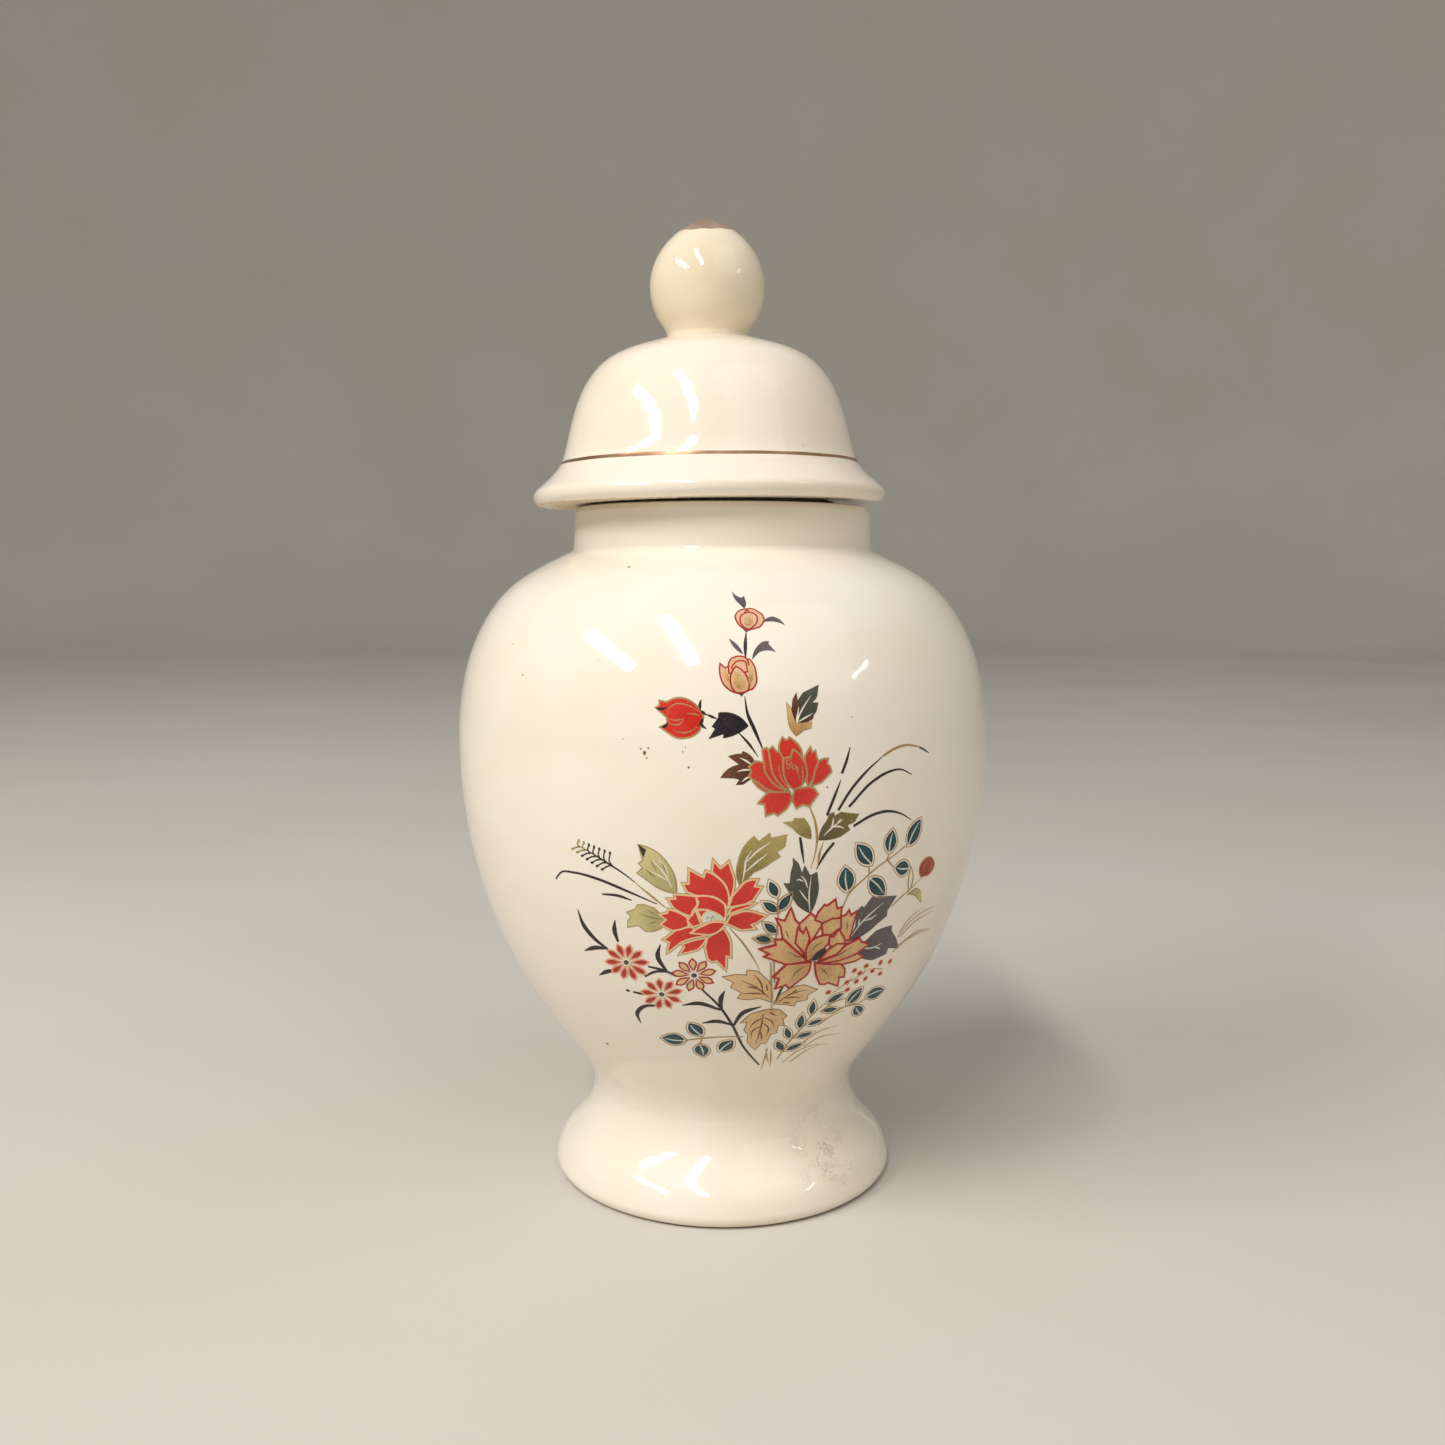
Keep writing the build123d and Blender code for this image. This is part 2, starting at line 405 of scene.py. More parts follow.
# %% Gather skins by colour
SQUARE = 0.4  # millimetres
printed = {}
stacked = {}  # how many colours already lie on each small square of the sheet


def next_layer(spots):
    """One layer above everything printed so far under these points of the sheet."""
    squares = {tuple(square) for square in np.floor(spots / SQUARE).astype(int).tolist()}
    lift = 1 + max(stacked.get(square, 0) for square in squares)
    stacked.update(dict.fromkeys(squares, lift))
    return lift


def tell(title):
    """Print how many skins the spray has so far, and how high they are stacked."""
    skins = sum(len(group) for group in printed.values())
    thickest = SKIN + max(stacked.values()) * LAYER
    print(title + ":", skins, "skins so far, stacked to", round(thickest, 2), "mm")


def add_skin(colour, flat, faces, lift, heart=None):
    """Close a flat patch of triangles or quads into a thin skin on the jar."""
    top, under = on_jar(flat, SKIN + lift * LAYER), on_jar(flat, -ROOT)
    size = len(flat)
    edges = {(a, b) for face in faces for a, b in zip(face, face[1:] + face[:1])}
    walls = [(b, a, a + size, b + size) for a, b in edges if (b, a) not in edges]
    skins = list(faces) + [tuple(v + size for v in reversed(face)) for face in faces] + sorted(walls)
    away = np.hypot(*(flat - (flat[0] if heart is None else np.array(heart))).T)
    tone = away / away.max()
    printed.setdefault(colour, []).append((np.vstack([top, under]), skins, np.tile(tone, 2)))


# %% Fill an outline
GRID = 1.0       # millimetres between the points inside a patch, which carry the jar's curve
CLEAR = 0.4      # as a share of GRID, how far those points stay from the outline
WELD = 0.00001   # points of a patch nearer than this become one


def dots_inside(rim, step):
    """Points of a square grid that lie inside an outline; every outline shares the same grid."""
    low, high = np.floor(rim.min(0) / step), rim.max(0) / step
    across, up = np.meshgrid(np.arange(low[0], high[0]) * step, np.arange(low[1], high[1]) * step)
    dots = np.stack([across.ravel(), up.ravel()], -1)
    after = np.roll(rim, -1, axis=0)
    crosses = (rim[:, 1] > dots[:, None, 1]) != (after[:, 1] > dots[:, None, 1])
    with np.errstate(divide="ignore", invalid="ignore"):
        meets = rim[:, 0] + (dots[:, None, 1] - rim[:, 1]) * (after - rim)[:, 0] / (after - rim)[:, 1]
    return dots[(crosses & (dots[:, None, 0] < meets)).sum(1) % 2 == 1]


def largest_region(faces):
    """The largest set of faces joined edge to edge, without slivers that hang on by a corner."""
    sharing = {}
    for face in faces:
        for a, b in zip(face, face[1:] + face[:1]):
            sharing.setdefault(frozenset((a, b)), []).append(face)
    left, best = set(faces), []
    while left:
        region = [left.pop()]
        for face in region:
            for a, b in zip(face, face[1:] + face[:1]):
                for other in sharing[frozenset((a, b))]:
                    if other in left:
                        left.remove(other)
                        region.append(other)
        best = max(best, region, key=len)
    return sorted(best)


def patch(colour, rim, heart=None):
    """Fill a closed flat outline with one colour, over whatever is printed there."""
    lift = next_layer(np.vstack([rim, dots_inside(rim, SQUARE)]))
    dots = dots_inside(rim, GRID)
    near = np.hypot(*(dots[:, None] - rim).transpose(2, 0, 1)).min(1, initial=math.inf)
    points = [Vector(p) for p in np.vstack([rim, dots[near > CLEAR * GRID]])]
    ring = [(i, (i + 1) % len(rim)) for i in range(len(rim))]
    made = geometry.delaunay_2d_cdt(points, ring, [list(range(len(rim)))], 1, WELD)
    flat = np.array([tuple(p) for p in made[0]])
    faces = []
    for face in made[2]:
        (ax, ay), (bx, by), (cx, cy) = flat[face]
        turn = (bx - ax) * (cy - ay) - (by - ay) * (cx - ax)
        faces.append(tuple(face) if turn > 0 else tuple(reversed(face)))
    faces = largest_region(faces)
    used = sorted({v for face in faces for v in face})
    place = {v: i for i, v in enumerate(used)}
    faces = [tuple(place[v] for v in face) for face in faces]
    add_skin(colour, flat[used], faces, lift, rim[0] if heart is None else heart)


# %% [markdown]
# ## Drawing tools
#
# Five tools draw the whole spray. `outline` joins corners with arcs, for toothed petals and leaves: a
# corner is (x, y), or (x, y, bulge) where the edge after it bows out by that share of its length.
# `blade` is a plain pointed oval, `oval` a round dot, `stroke` a tapering brush line, and `grown` widens
# an outline, which prints the contrasting line around a petal.

# %% Outlines
EDGE_STEP = 0.5  # millimetres between the points of an outline
BLUNT = 0.85     # under 1 this fills out the ends of a blade
MITRE = 0.45     # a grown corner runs out no further than the margin divided by this
TINY = 1e-6


def outline(corners):
    """A closed outline from listed corners, joined by arcs."""
    spots = np.array([corner[:2] for corner in corners], float)
    after = np.roll(spots, -1, axis=0)
    turn = 1 if np.sum(spots[:, 0] * after[:, 1] - after[:, 0] * spots[:, 1]) < 0 else -1
    made = []
    for corner, here, there in zip(corners, spots, after):
        bulge = corner[2] if len(corner) > 2 else 0.0
        way = there - here
        out = turn * np.array([-way[1], way[0]]) * bulge
        t = np.linspace(0, 1, max(2, round(np.hypot(*way) / EDGE_STEP)), endpoint=False)[:, None]
        made.append(here + way * t + out * 4 * t * (1 - t))
    return np.vstack(made)


def blade(base, tip, width, widest):
    """A plain pointed oval from base to tip, widest at this share of its length."""
    base, tip = np.array(base, float), np.array(tip, float)
    way = tip - base
    left = np.array([-way[1], way[0]]) / np.hypot(*way)
    steps = max(5, int(np.hypot(*way) / EDGE_STEP))
    t = np.linspace(0, 1, steps)[:, None]
    half = width / 2 * np.sin(math.pi * t ** (math.log(0.5) / math.log(widest))) ** BLUNT
    middle = base + way * t
    return np.vstack([middle + left * half, (middle - left * half)[-2:0:-1]])


def oval(centre, long, wide, turn=0.0):
    """A small oval, its long way turned this many degrees from x."""
    t = np.linspace(0, 2 * math.pi, max(10, int(3 * long / EDGE_STEP)), endpoint=False)
    a = math.radians(turn)
    x, y = long / 2 * np.cos(t), wide / 2 * np.sin(t)
    right = centre[0] + x * math.cos(a) - y * math.sin(a)
    up = centre[1] + x * math.sin(a) + y * math.cos(a)
    return np.stack([right, up], -1)


def grown(rim, margin):
    """The outline moved outwards by a margin, or inwards if it is negative."""
    before, after = np.roll(rim, 1, axis=0), np.roll(rim, -1, axis=0)
    turn = 1 if np.sum(rim[:, 0] * after[:, 1] - after[:, 0] * rim[:, 1]) < 0 else -1
    sides = []
    for way in (rim - before, after - rim):
        sides.append(turn * np.stack([-way[:, 1], way[:, 0]], -1) / np.hypot(*way.T)[:, None])
    out = sides[0] + sides[1]
    out /= np.maximum(np.hypot(*out.T), TINY)[:, None]
    reach = np.clip((out * sides[0]).sum(1), MITRE, 1)
    return rim + out * (margin / reach)[:, None]


# %% Strokes
INNER_EDGE = 0.3          # the width of a second, paler edge inside a petal's line
TAPER = (0.35, 0.2)       # the widths at a stroke's two ends, as shares of its full width
TAPER_RUN = (0.35, 0.45)  # how much of the stroke each end takes to reach the full width
ASIDE = 0.001             # keeps the heart of a stroke off its own points


def stroke(colour, points, width, ends=TAPER, loop=False):
    """A brush line through a few points; ends are the widths at its two ends, as shares of the full."""
    line = np.array(points, float)
    if not loop:
        line = smooth(line, EDGE_STEP) if len(line) > 2 else np.linspace(line[0], line[-1], 8)
    way = np.roll(line, -1, axis=0) - np.roll(line, 1, axis=0) if loop else np.gradient(line, axis=0)
    left = np.stack([-way[:, 1], way[:, 0]], -1) / np.hypot(*way.T)[:, None]
    t = np.linspace(0, 1, len(line))
    rise = ends[0] + (1 - ends[0]) * t / TAPER_RUN[0]
    fall = ends[1] + (1 - ends[1]) * (1 - t) / TAPER_RUN[1]
    swell = np.ones(len(line)) if loop else np.minimum(1, np.minimum(rise, fall))
    half = (width / 2 * swell)[:, None]
    flat = np.vstack([line + left * half, line - left * half])
    size = len(line)
    faces = []
    for i in range(size if loop else size - 1):
        j = (i + 1) % size
        faces.append((i + size, j + size, j, i))
    add_skin(colour, flat, faces, next_layer(np.vstack([flat, line])), line[0] - ASIDE)


def lines(colour, width, routes, ends=TAPER):
    """Several strokes of one colour and width."""
    for route in routes:
        stroke(colour, route, width, ends)


def petals(fill, line, margin, outlines, inner=None, heart=None):
    """Overlapping petals or leaf parts, the first at the back, each with a contrasting line around it."""
    for corners in outlines:
        rim = outline(corners)
        if line:
            patch(line, grown(rim, margin), heart)
        if inner:
            patch(inner, rim, heart)
            rim = grown(rim, -INNER_EDGE)
        patch(fill, rim, heart)


# %% [markdown]
# ## Buds at the top of the spray
#
# Three buds on thin dark stems: two small closed ones in warm beige with red outlines, and a fuller red
# one that lies on its side. Each bud is a few petals, printed back to front. Leaves and sepals go down
# first, so that the petals and their outlines cover where they meet.

# %% Stems, sepals and buds
lines("umber", 0.8, [
    [(8.9, 5.6), (7.0, 10.0), (5.6, 13.2), (4.9, 17.3)],
    [(5.1, 26.0), (5.1, 29.5), (5.3, 32.3)],
])
lines("umber", 0.55, [[(3.5, 9.3), (5.8, 6.8), (7.9, 3.8)], [(-3.6, 13.3), (-1.0, 12.2)]])
petals("slate", None, 0, [
    [(4.9, 38.3), (3.7, 39.8, 0.1), (2.2, 43.6, -0.12), (4.2, 41.5), (4.9, 42.0), (5.3, 40.3, 0.1)],
    [(8.9, 34.6, 0.12), (11.3, 36.2, 0.12), (14.2, 33.8, -0.12)],
    [(4.6, 26.8, 0.1), (1.4, 30.6, 0.1)],
    [(6.6, 25.6, 0.12), (8.8, 29.7, 0.1), (10.5, 29.9), (10.3, 29.3), (12.1, 27.2, -0.12), (8.2, 27.3)],
    [(3.1, 18.3), (4.2, 17.2), (5.4, 18.5), (4.3, 19.3)],
    [(4.6, 32.9), (5.3, 32.1), (6.3, 32.7), (5.5, 33.4)],
])
petals("ink", None, 0, [
    [(5.8, 10.7, 0.08), (0.1, 8.0), (0.2, 8.9), (-3.1, 7.8), (-1.7, 10.1), (-2.4, 10.6), (-1.0, 12.5),
     (-0.9, 13.7, 0.16)],
])
petals("beige", "crimson", 0.36, [
    [(5.2, 33.0, 0.12), (3.0, 36.2, 0.2), (5.3, 38.0), (4.3, 36.6, -0.1)],
    [(6.6, 33.1), (8.2, 33.6, 0.1), (9.2, 35.5, 0.15), (7.9, 37.3, 0.15), (5.7, 38.1), (6.3, 37.2),
     (7.6, 35.6)],
    [(6.0, 33.0), (7.3, 34.2, 0.1), (7.6, 36.2, 0.1), (6.2, 37.1, 0.1), (4.3, 36.3, 0.1),
     (4.4, 34.2, 0.1)],
], heart=(5.6, 33))
petals("beige", "crimson", 0.36, [
    [(5.6, 18.8), (6.5, 19.0, 0.15), (7.3, 22.0, 0.1), (5.9, 25.5), (4.9, 25.3)],
    [(3.2, 18.2, 0.1), (0.3, 20.2, 0.08), (-0.4, 24.3), (0.6, 23.4), (1.6, 24.1), (2.0, 20.6)],
    [(1.6, 22.6), (1.5, 24.0, 0.1), (2.0, 25.6, 0.15), (5.0, 25.9, 0.1), (5.6, 24.4), (4.2, 22.6)],
    [(3.2, 22.4), (2.2, 23.8), (2.9, 24.8, 0.15), (5.0, 24.9), (5.4, 23.0)],
    [(3.0, 18.3, 0.1), (1.9, 20.8, 0.1), (3.0, 23.8, 0.1), (5.5, 21.0, 0.1), (5.5, 18.7, 0.1)],
], heart=(4, 18))
petals("honey", None, 0, [
    [(3.4, 18.9, 0.1), (2.5, 20.9, 0.1), (3.1, 22.9, 0.1), (5.0, 20.8, 0.1), (5.0, 19.2, 0.1)],
    [(5.9, 33.6, 0.2), (6.9, 35.2, 0.2), (5.9, 36.5, 0.2), (4.9, 35.2, 0.2)],
    [(6.0, 19.9, 0.1), (5.9, 22.0), (5.4, 24.4, 0.2), (6.7, 21.8, 0.1)],
    [(1.2, 20.5, 0.1), (0.3, 22.5), (1.2, 23.0), (1.5, 21.0)],
])
petals("scarlet", "gilt", 0.42, [
    [(-4.4, 12.8), (-5.2, 9.9, 0.12), (-8.5, 8.2, 0.12), (-11.4, 8.9), (-13.5, 10.3), (-12.0, 11.0),
     (-12.2, 12.6), (-14.6, 14.6), (-13.9, 15.0), (-13.9, 16.0), (-12.3, 15.7, 0.08), (-9.8, 16.7, 0.1),
     (-6.6, 15.6, 0.08)],
], heart=(-4, 12.8))
lines("gilt", 0.28, [
    [(-5.0, 13.8), (-7.5, 15.2), (-10.5, 15.5), (-12.0, 14.4), (-12.1, 12.8)],
    [(-11.9, 11.2), (-9.8, 10.9), (-8.4, 12.3)],
    [(-8.4, 12.3), (-10.5, 11.9), (-12.1, 12.3)],
    [(-5.0, 13.0), (-6.6, 13.4), (-7.8, 13.4)],
    [(-5.4, 10.5), (-8.0, 9.2), (-11.0, 9.6)],
])
lines("umber", 0.66, [
    [(-4.9, 14.3), (-5.0, 15.4), (-4.7, 16.6)], [(-4.9, 11.6), (-4.3, 10.6), (-3.5, 10.1)],
    [(-3.6, 13.2), (-4.3, 13.7), (-4.9, 14.2)], [(-4.3, 12.4), (-4.6, 11.6), (-5.2, 10.8)],
    [(-13.6, 10.3), (-12.5, 10.7), (-12.1, 11.6)], [(-14.7, 14.6), (-13.7, 14.3), (-12.3, 14.8)],
])
tell("buds")

# %% [markdown]
# ## The upper peony
#
# A red peony seen from the side. The back petals stand up behind the cupped middle one, and two broad
# petals hang below. A fine gold line divides them, with one small curl at the heart. Every petal differs,
# so each is its own short outline rather than one petal repeated.

# %% Upper peony and its leaves
petals("rust", None, 0, [
    [(6.6, -0.9), (4.6, -2.3), (2.9, -2.4), (3.7, -1.2), (2.6, -0.9), (-0.5, -0.8, 0.12), (3.6, 2.2),
     (1.2, 4.0, 0.06), (4.2, 4.6), (4.4, 5.2, 0.1), (7.0, 3.2)],
])
lines("bare", 0.4, [
    [(6.6, 2.0), (5.2, 3.0), (3.8, 3.7)], [(6.3, 0.9), (4.8, 1.0), (3.2, 0.6)],
    [(6.2, -0.6), (5.2, -0.9), (4.3, -1.7)],
])
petals("honey", "gilt", 0.2, [
    [(16.6, 8.4, 0.1), (14.8, 11.5), (14.4, 15.6), (15.5, 14.0), (16.6, 11.0), (20.1, 11.2), (19.9, 10.0),
     (18.3, 9.6)],
])
petals("rust", None, 0, [
    [(16.3, 11.4), (15.4, 14.0), (15.7, 16.5), (16.6, 18.0), (17.1, 15.0)],
    [(17.0, 11.3), (18.6, 12.6), (21.2, 14.2), (20.4, 11.9, 0.1)],
])
petals("pine", None, 0, [
    [(16.9, 11.3), (17.2, 14.4), (16.9, 16.2), (18.1, 17.9), (21.9, 19.6), (21.5, 17.0, 0.08),
     (20.2, 15.6), (21.8, 15.6), (21.3, 13.6), (20.3, 12.3), (18.9, 12.1)],
])
lines("bare", 0.36, [
    [(16.7, 10.9), (17.3, 13.0), (18.6, 15.2), (20.0, 17.2)], [(17.0, 11.4), (18.5, 12.2), (20.4, 13.2)],
])
lines("gilt", 0.6, [
    [(19.4, -7.2), (20.9, -10.5), (21.6, -14.0), (21.5, -17.5), (20.3, -22.3)],
    [(22.0, -22.0), (22.3, -19.0), (23.2, -16.2)],
])
petals("scarlet", "gilt", 0.42, [
    [(15.5, 0.0), (12.9, 4.6), (12.7, 6.2), (13.4, 7.8), (14.3, 7.1), (15.0, 7.8), (16.7, 6.4, 0.08),
     (17.8, 3.6)],
    [(19.4, -2.6), (18.7, 1.0), (18.8, 3.8), (19.8, 5.3), (20.2, 4.2), (20.9, 4.6), (21.5, 2.3, 0.1)],
    [(20.4, -2.8), (21.2, 0.4), (21.9, 2.2, 0.1), (23.9, 2.8), (23.7, 1.7), (24.5, 1.0), (24.8, 0.0),
     (23.5, -1.2), (22.5, -2.1)],
    [(14.6, -4.1, 0.08), (9.8, -3.9, 0.08), (7.1, -1.7), (9.5, -1.0)],
    [(14.6, -3.8, 0.14), (8.0, -1.7, 0.05), (6.1, -0.4), (6.6, 0.6), (6.1, 1.6), (7.4, 2.7),
     (9.4, 2.3)],
    [(14.6, -3.7, 0.12), (9.6, 0.8), (9.0, 5.2), (9.7, 5.6), (10.4, 4.8)],
    [(14.6, -3.6, 0.08), (11.2, 0.6), (10.4, 5.2), (11.1, 5.8), (11.8, 4.9), (12.6, 4.6, 0.08),
     (13.6, 1.0)],
    [(16.4, -3.6, 0.1), (14.1, -1.0, 0.05), (13.8, 3.2), (14.6, 3.4), (15.3, 3.3), (15.9, 5.0, 0.08),
     (17.6, 3.4, 0.1), (18.9, -0.8, 0.08)],
    [(14.9, -4.4), (10.2, -4.3), (9.3, -5.3), (8.3, -6.4), (9.6, -6.7), (9.8, -9.2), (11.6, -8.6),
     (12.3, -9.2), (14.1, -7.9, 0.06), (15.4, -5.4)],
    [(16.3, -3.8), (19.5, -3.4), (20.7, -3.8), (21.5, -4.9), (20.4, -6.3), (19.6, -7.4), (18.1, -6.9),
     (16.7, -7.7), (15.9, -6.0)],
], heart=(15.5, -3.8))
lines("gilt", 0.3, [
    [(14.1, 1.8), (14.7, 1.0), (15.4, 1.7), (15.9, 0.8), (16.6, 1.5), (17.2, 0.6)],
    [(15.2, 2.9), (14.4, 3.0), (14.3, 2.2), (15.0, 1.9), (15.3, 2.4)],
    [(15.3, 3.3), (15.5, 2.2), (16.3, 1.7), (16.9, 0.2), (17.3, -1.8)],
    [(17.9, 1.8), (18.1, -0.6), (17.8, -2.8)], [(12.4, 1.8), (13.1, -1.0), (14.6, -3.2)],
])
tell("upper peony")

# %% Leaves and grass beside the upper peony
petals("olive", None, 0, [
    [(20.3, -15.3, 0.1), (15.8, -12.6), (13.4, -11.0), (15.9, -10.9), (16.2, -10.1), (17.3, -10.3),
     (18.4, -10.2, 0.12)],
])
petals("moss", None, 0, [
    [(22.0, -15.7, 0.1), (23.8, -11.4), (24.6, -9.6), (25.9, -9.3), (25.9, -10.2), (27.6, -9.4),
     (29.0, -9.7), (32.3, -10.2), (31.2, -12.0), (29.3, -12.7), (30.0, -13.8), (27.6, -15.2, 0.05)],
])
lines("bare", 0.4, [
    [(23.3, -14.7), (25.2, -13.0), (28.2, -11.2)], [(25.0, -13.2), (25.5, -11.8), (25.6, -10.6)],
    [(25.6, -12.8), (27.2, -12.8), (28.4, -13.4)], [(26.6, -12.2), (27.6, -11.0)],
])
petals("pine", None, 0, [
    [(20.5, -33.6, 0.05), (17.0, -31.0), (15.0, -27.6), (13.8, -25.5), (15.3, -25.6), (15.5, -23.0),
     (16.0, -21.0), (15.9, -19.4), (17.4, -20.9), (18.2, -23.2), (18.8, -21.4), (20.2, -23.9),
     (21.9, -23.2), (22.4, -27.0, 0.06)],
])
lines("bare", 0.34, [
    [(20.3, -33.2), (20.0, -29.0), (20.4, -24.2)], [(19.9, -30.6), (18.6, -28.8), (17.6, -27.4)],
    [(19.6, -27.0), (18.9, -25.0), (17.9, -23.8)], [(18.6, -25.4), (17.4, -24.8), (16.8, -25.0)],
])
lines("umber", 0.66, [
    [(17.6, -14.7), (18.1, -17.8), (18.6, -21.0)], [(25.9, -16.5), (23.9, -18.8), (21.6, -22.6)],
    [(24.0, -10.0), (26.3, -4.6), (27.4, -2.0)], [(27.6, -0.6), (28.7, 2.0), (29.7, 5.3)],
], ends=(0.9, 0.3))
lines("umber", 0.66, [
    [(26.8, -9.0), (30.0, -4.5), (34.0, -0.6), (38.5, 2.6)],
    [(29.5, -8.4), (35.5, -3.2), (40.0, -1.2), (44.0, -0.8), (47.7, -2.3)],
    [(30.8, -13.0), (36.0, -10.8), (40.0, -10.3), (44.5, -11.3), (48.0, -13.2)],
], ends=(0.9, 0.3))
lines("gilt", 0.55, [[(38.7, 2.7), (42.0, 4.1), (46.0, 4.7), (50.0, 4.0)]], ends=(1, 0.6))
lines("umber", 0.42, [[(50.2, 3.9), (52.0, 3.1), (53.7, 2.2)]], ends=(0.9, 0.3))
tell("leaves and grass")

# %% [markdown]
# ## The middle peony
#
# The largest flower, open towards the viewer. Its toothed outer petals spread round a small pale heart.
# Each petal has a pale line, and the spread ones stand on a wider gold one, which shows round the edge
# of the flower. All of that gold is printed before any of the red, so it never crosses a neighbour.

# %% Middle peony
lines("gilt", 0.5, [
    [(1.6, -36.4), (4.5, -40.2), (7.0, -44.5), (8.7, -48.2)],
    [(-13.0, -31.5), (-16.5, -28.6), (-20.5, -25.4)],
])
petals("olive", "gilt", 0.3, [
    [(4.0, -25.6, 0.1), (3.7, -20.0, 0.1), (7.0, -14.4), (8.1, -15.6), (10.5, -13.8), (10.7, -14.9),
     (14.3, -14.2), (13.9, -16.6, 0.05), (11.9, -17.8), (12.8, -19.0), (10.6, -20.4, 0.05),
     (7.0, -22.4)],
])
lines("bare", 0.4, [
    [(4.5, -24.8), (5.0, -21.8), (5.3, -19.6), (6.6, -17.4)], [(5.2, -22.4), (7.4, -20.4), (10.0, -18.4)],
    [(5.3, -20.2), (7.6, -17.8), (10.8, -15.6)],
])
petals("lichen", "gilt", 0.3, [
    [(-10.6, -27.7, 0.1), (-12.3, -21.0, 0.12), (-19.0, -16.7), (-18.0, -20.2), (-19.0, -21.0),
     (-18.0, -22.0), (-19.4, -23.3), (-16.6, -25.2, 0.08)],
    [(-13.4, -34.2), (-15.8, -31.9), (-18.2, -31.2), (-19.6, -31.4), (-20.0, -32.4), (-22.1, -33.4),
     (-21.0, -34.4), (-22.0, -35.6), (-22.1, -37.1), (-19.5, -36.4), (-17.8, -37.8, 0.1),
     (-14.0, -36.6)],
])
petals("umber", None, 0, [[(-19.2, -16.4), (-18.0, -19.6), (-17.3, -17.6)]])
lines("bare", 0.34, [
    [(-11.4, -26.4), (-13.2, -23.0), (-15.8, -20.0)], [(-12.4, -24.8), (-14.4, -23.6), (-16.6, -22.6)],
    [(-12.2, -24.0), (-12.9, -21.6), (-14.6, -19.4)],
])
lines("moss", 0.24, [
    [(-14.0, -34.6), (-16.4, -34.2), (-19.2, -33.4)], [(-15.2, -35.2), (-17.2, -36.0)],
    [(-15.4, -33.4), (-17.4, -32.4)], [(-16.4, -20.2), (-14.9, -22.4)],
    [(-17.4, -22.4), (-15.0, -24.4)], [(-13.6, -20.6), (-12.4, -23.4)],
])
middle_petals = [
    [(1.6, -29.0), (1.2, -26.2, -0.05), (-1.0, -23.4), (-2.1, -22.4), (-1.9, -20.2), (-0.5, -21.9),
     (1.3, -20.4), (2.4, -24.0, 0.05)],
    [(1.1, -30.9, -0.1), (-2.2, -28.2), (-6.0, -28.0), (-7.9, -27.2), (-8.6, -25.6), (-7.4, -25.6),
     (-7.3, -22.3), (-4.1, -24.1), (-3.6, -22.5, 0.2)],
    [(1.6, -32.5), (2.3, -31.4), (4.8, -30.6), (7.0, -30.4), (5.0, -31.2), (3.0, -31.9)],
    [(1.7, -30.8), (2.4, -28.4), (4.8, -25.4, 0.1), (7.6, -24.6), (6.9, -26.2), (8.5, -26.4),
     (6.8, -29.2), (5.0, -30.2)],
    [(1.1, -35.1), (2.0, -33.3), (4.5, -32.4, 0.06), (7.2, -32.6), (9.5, -33.5), (7.8, -34.9),
     (6.2, -35.5), (7.0, -36.5), (4.2, -36.7)],
    [(0.2, -36.8), (-3.2, -39.0), (-3.8, -41.5), (-3.2, -44.6), (-2.4, -45.3), (-1.3, -44.9),
     (0.6, -47.3), (0.7, -43.6), (1.7, -43.9), (1.7, -40.5, 0.05)],
    [(-4.0, -39.3), (-6.5, -39.9), (-8.9, -40.9), (-8.5, -41.6), (-9.5, -43.3), (-5.8, -42.0, 0.06)],
    [(-4.6, -38.4, -0.06), (-7.0, -36.5, 0.05), (-10.2, -37.1), (-13.2, -39.8), (-12.0, -40.3),
     (-12.5, -42.9), (-9.8, -40.3, -0.05)],
    [(-7.9, -35.9, 0.05), (-11.5, -37.1), (-13.9, -35.8), (-12.6, -34.6), (-14.0, -33.4),
     (-12.4, -33.0), (-12.2, -32.1, 0.06), (-8.2, -33.9)],
    [(-7.3, -33.2), (-9.3, -32.4), (-10.9, -31.4), (-12.1, -29.5), (-10.4, -29.3), (-10.6, -28.3),
     (-8.0, -28.4), (-6.1, -28.6), (-5.9, -30.5), (-6.9, -31.9)],
    [(0.4, -33.8, -0.12), (-5.7, -31.4), (-5.2, -29.9), (-5.7, -28.6, 0.14), (0.3, -30.4, 0.06)],
    [(-5.1, -35.3), (-6.7, -35.9), (-7.7, -34.6), (-7.3, -33.6), (-6.8, -33.4), (-6.2, -32.1)],
    [(-4.6, -34.0), (-5.4, -32.0), (-3.7, -31.9)],
]
PETAL_LINE, GILT_RIM = 0.42, 0.62  # how far the pale line and the gold under it stand out, in millimetres
for corners in middle_petals:
    patch("gilt", grown(outline(corners), GILT_RIM))
petals("scarlet", "champagne", PETAL_LINE, middle_petals, heart=(-1, -34))
petals("frost", "champagne", 0.36, [
    [(0.2, -34.2, 0.1), (-3.0, -32.1, 0.1), (-4.4, -33.4, 0.1), (-4.2, -34.9, -0.1)],
])
petals("scarlet", "champagne", PETAL_LINE, [
    [(-6.8, -37.6), (-5.2, -36.4), (-3.0, -35.2, 0.08), (0.4, -35.2, 0.05), (-0.8, -36.8, 0.1),
     (-3.4, -37.9)],
], heart=(1, -34))
lines("moss", 0.2, [
    [(-3.6, -34.3), (-3.4, -33.4), (-2.8, -33.9)], [(-2.6, -34.5), (-2.2, -33.2), (-1.6, -34.2)],
])
tell("middle peony")

# %% [markdown]
# ## Grass ear and the fine grasses
#
# Strokes that thicken and taper as a loaded brush does, and an ear of grass whose hairs each end in a
# dot. The hairs grow shorter towards the tip of the ear.

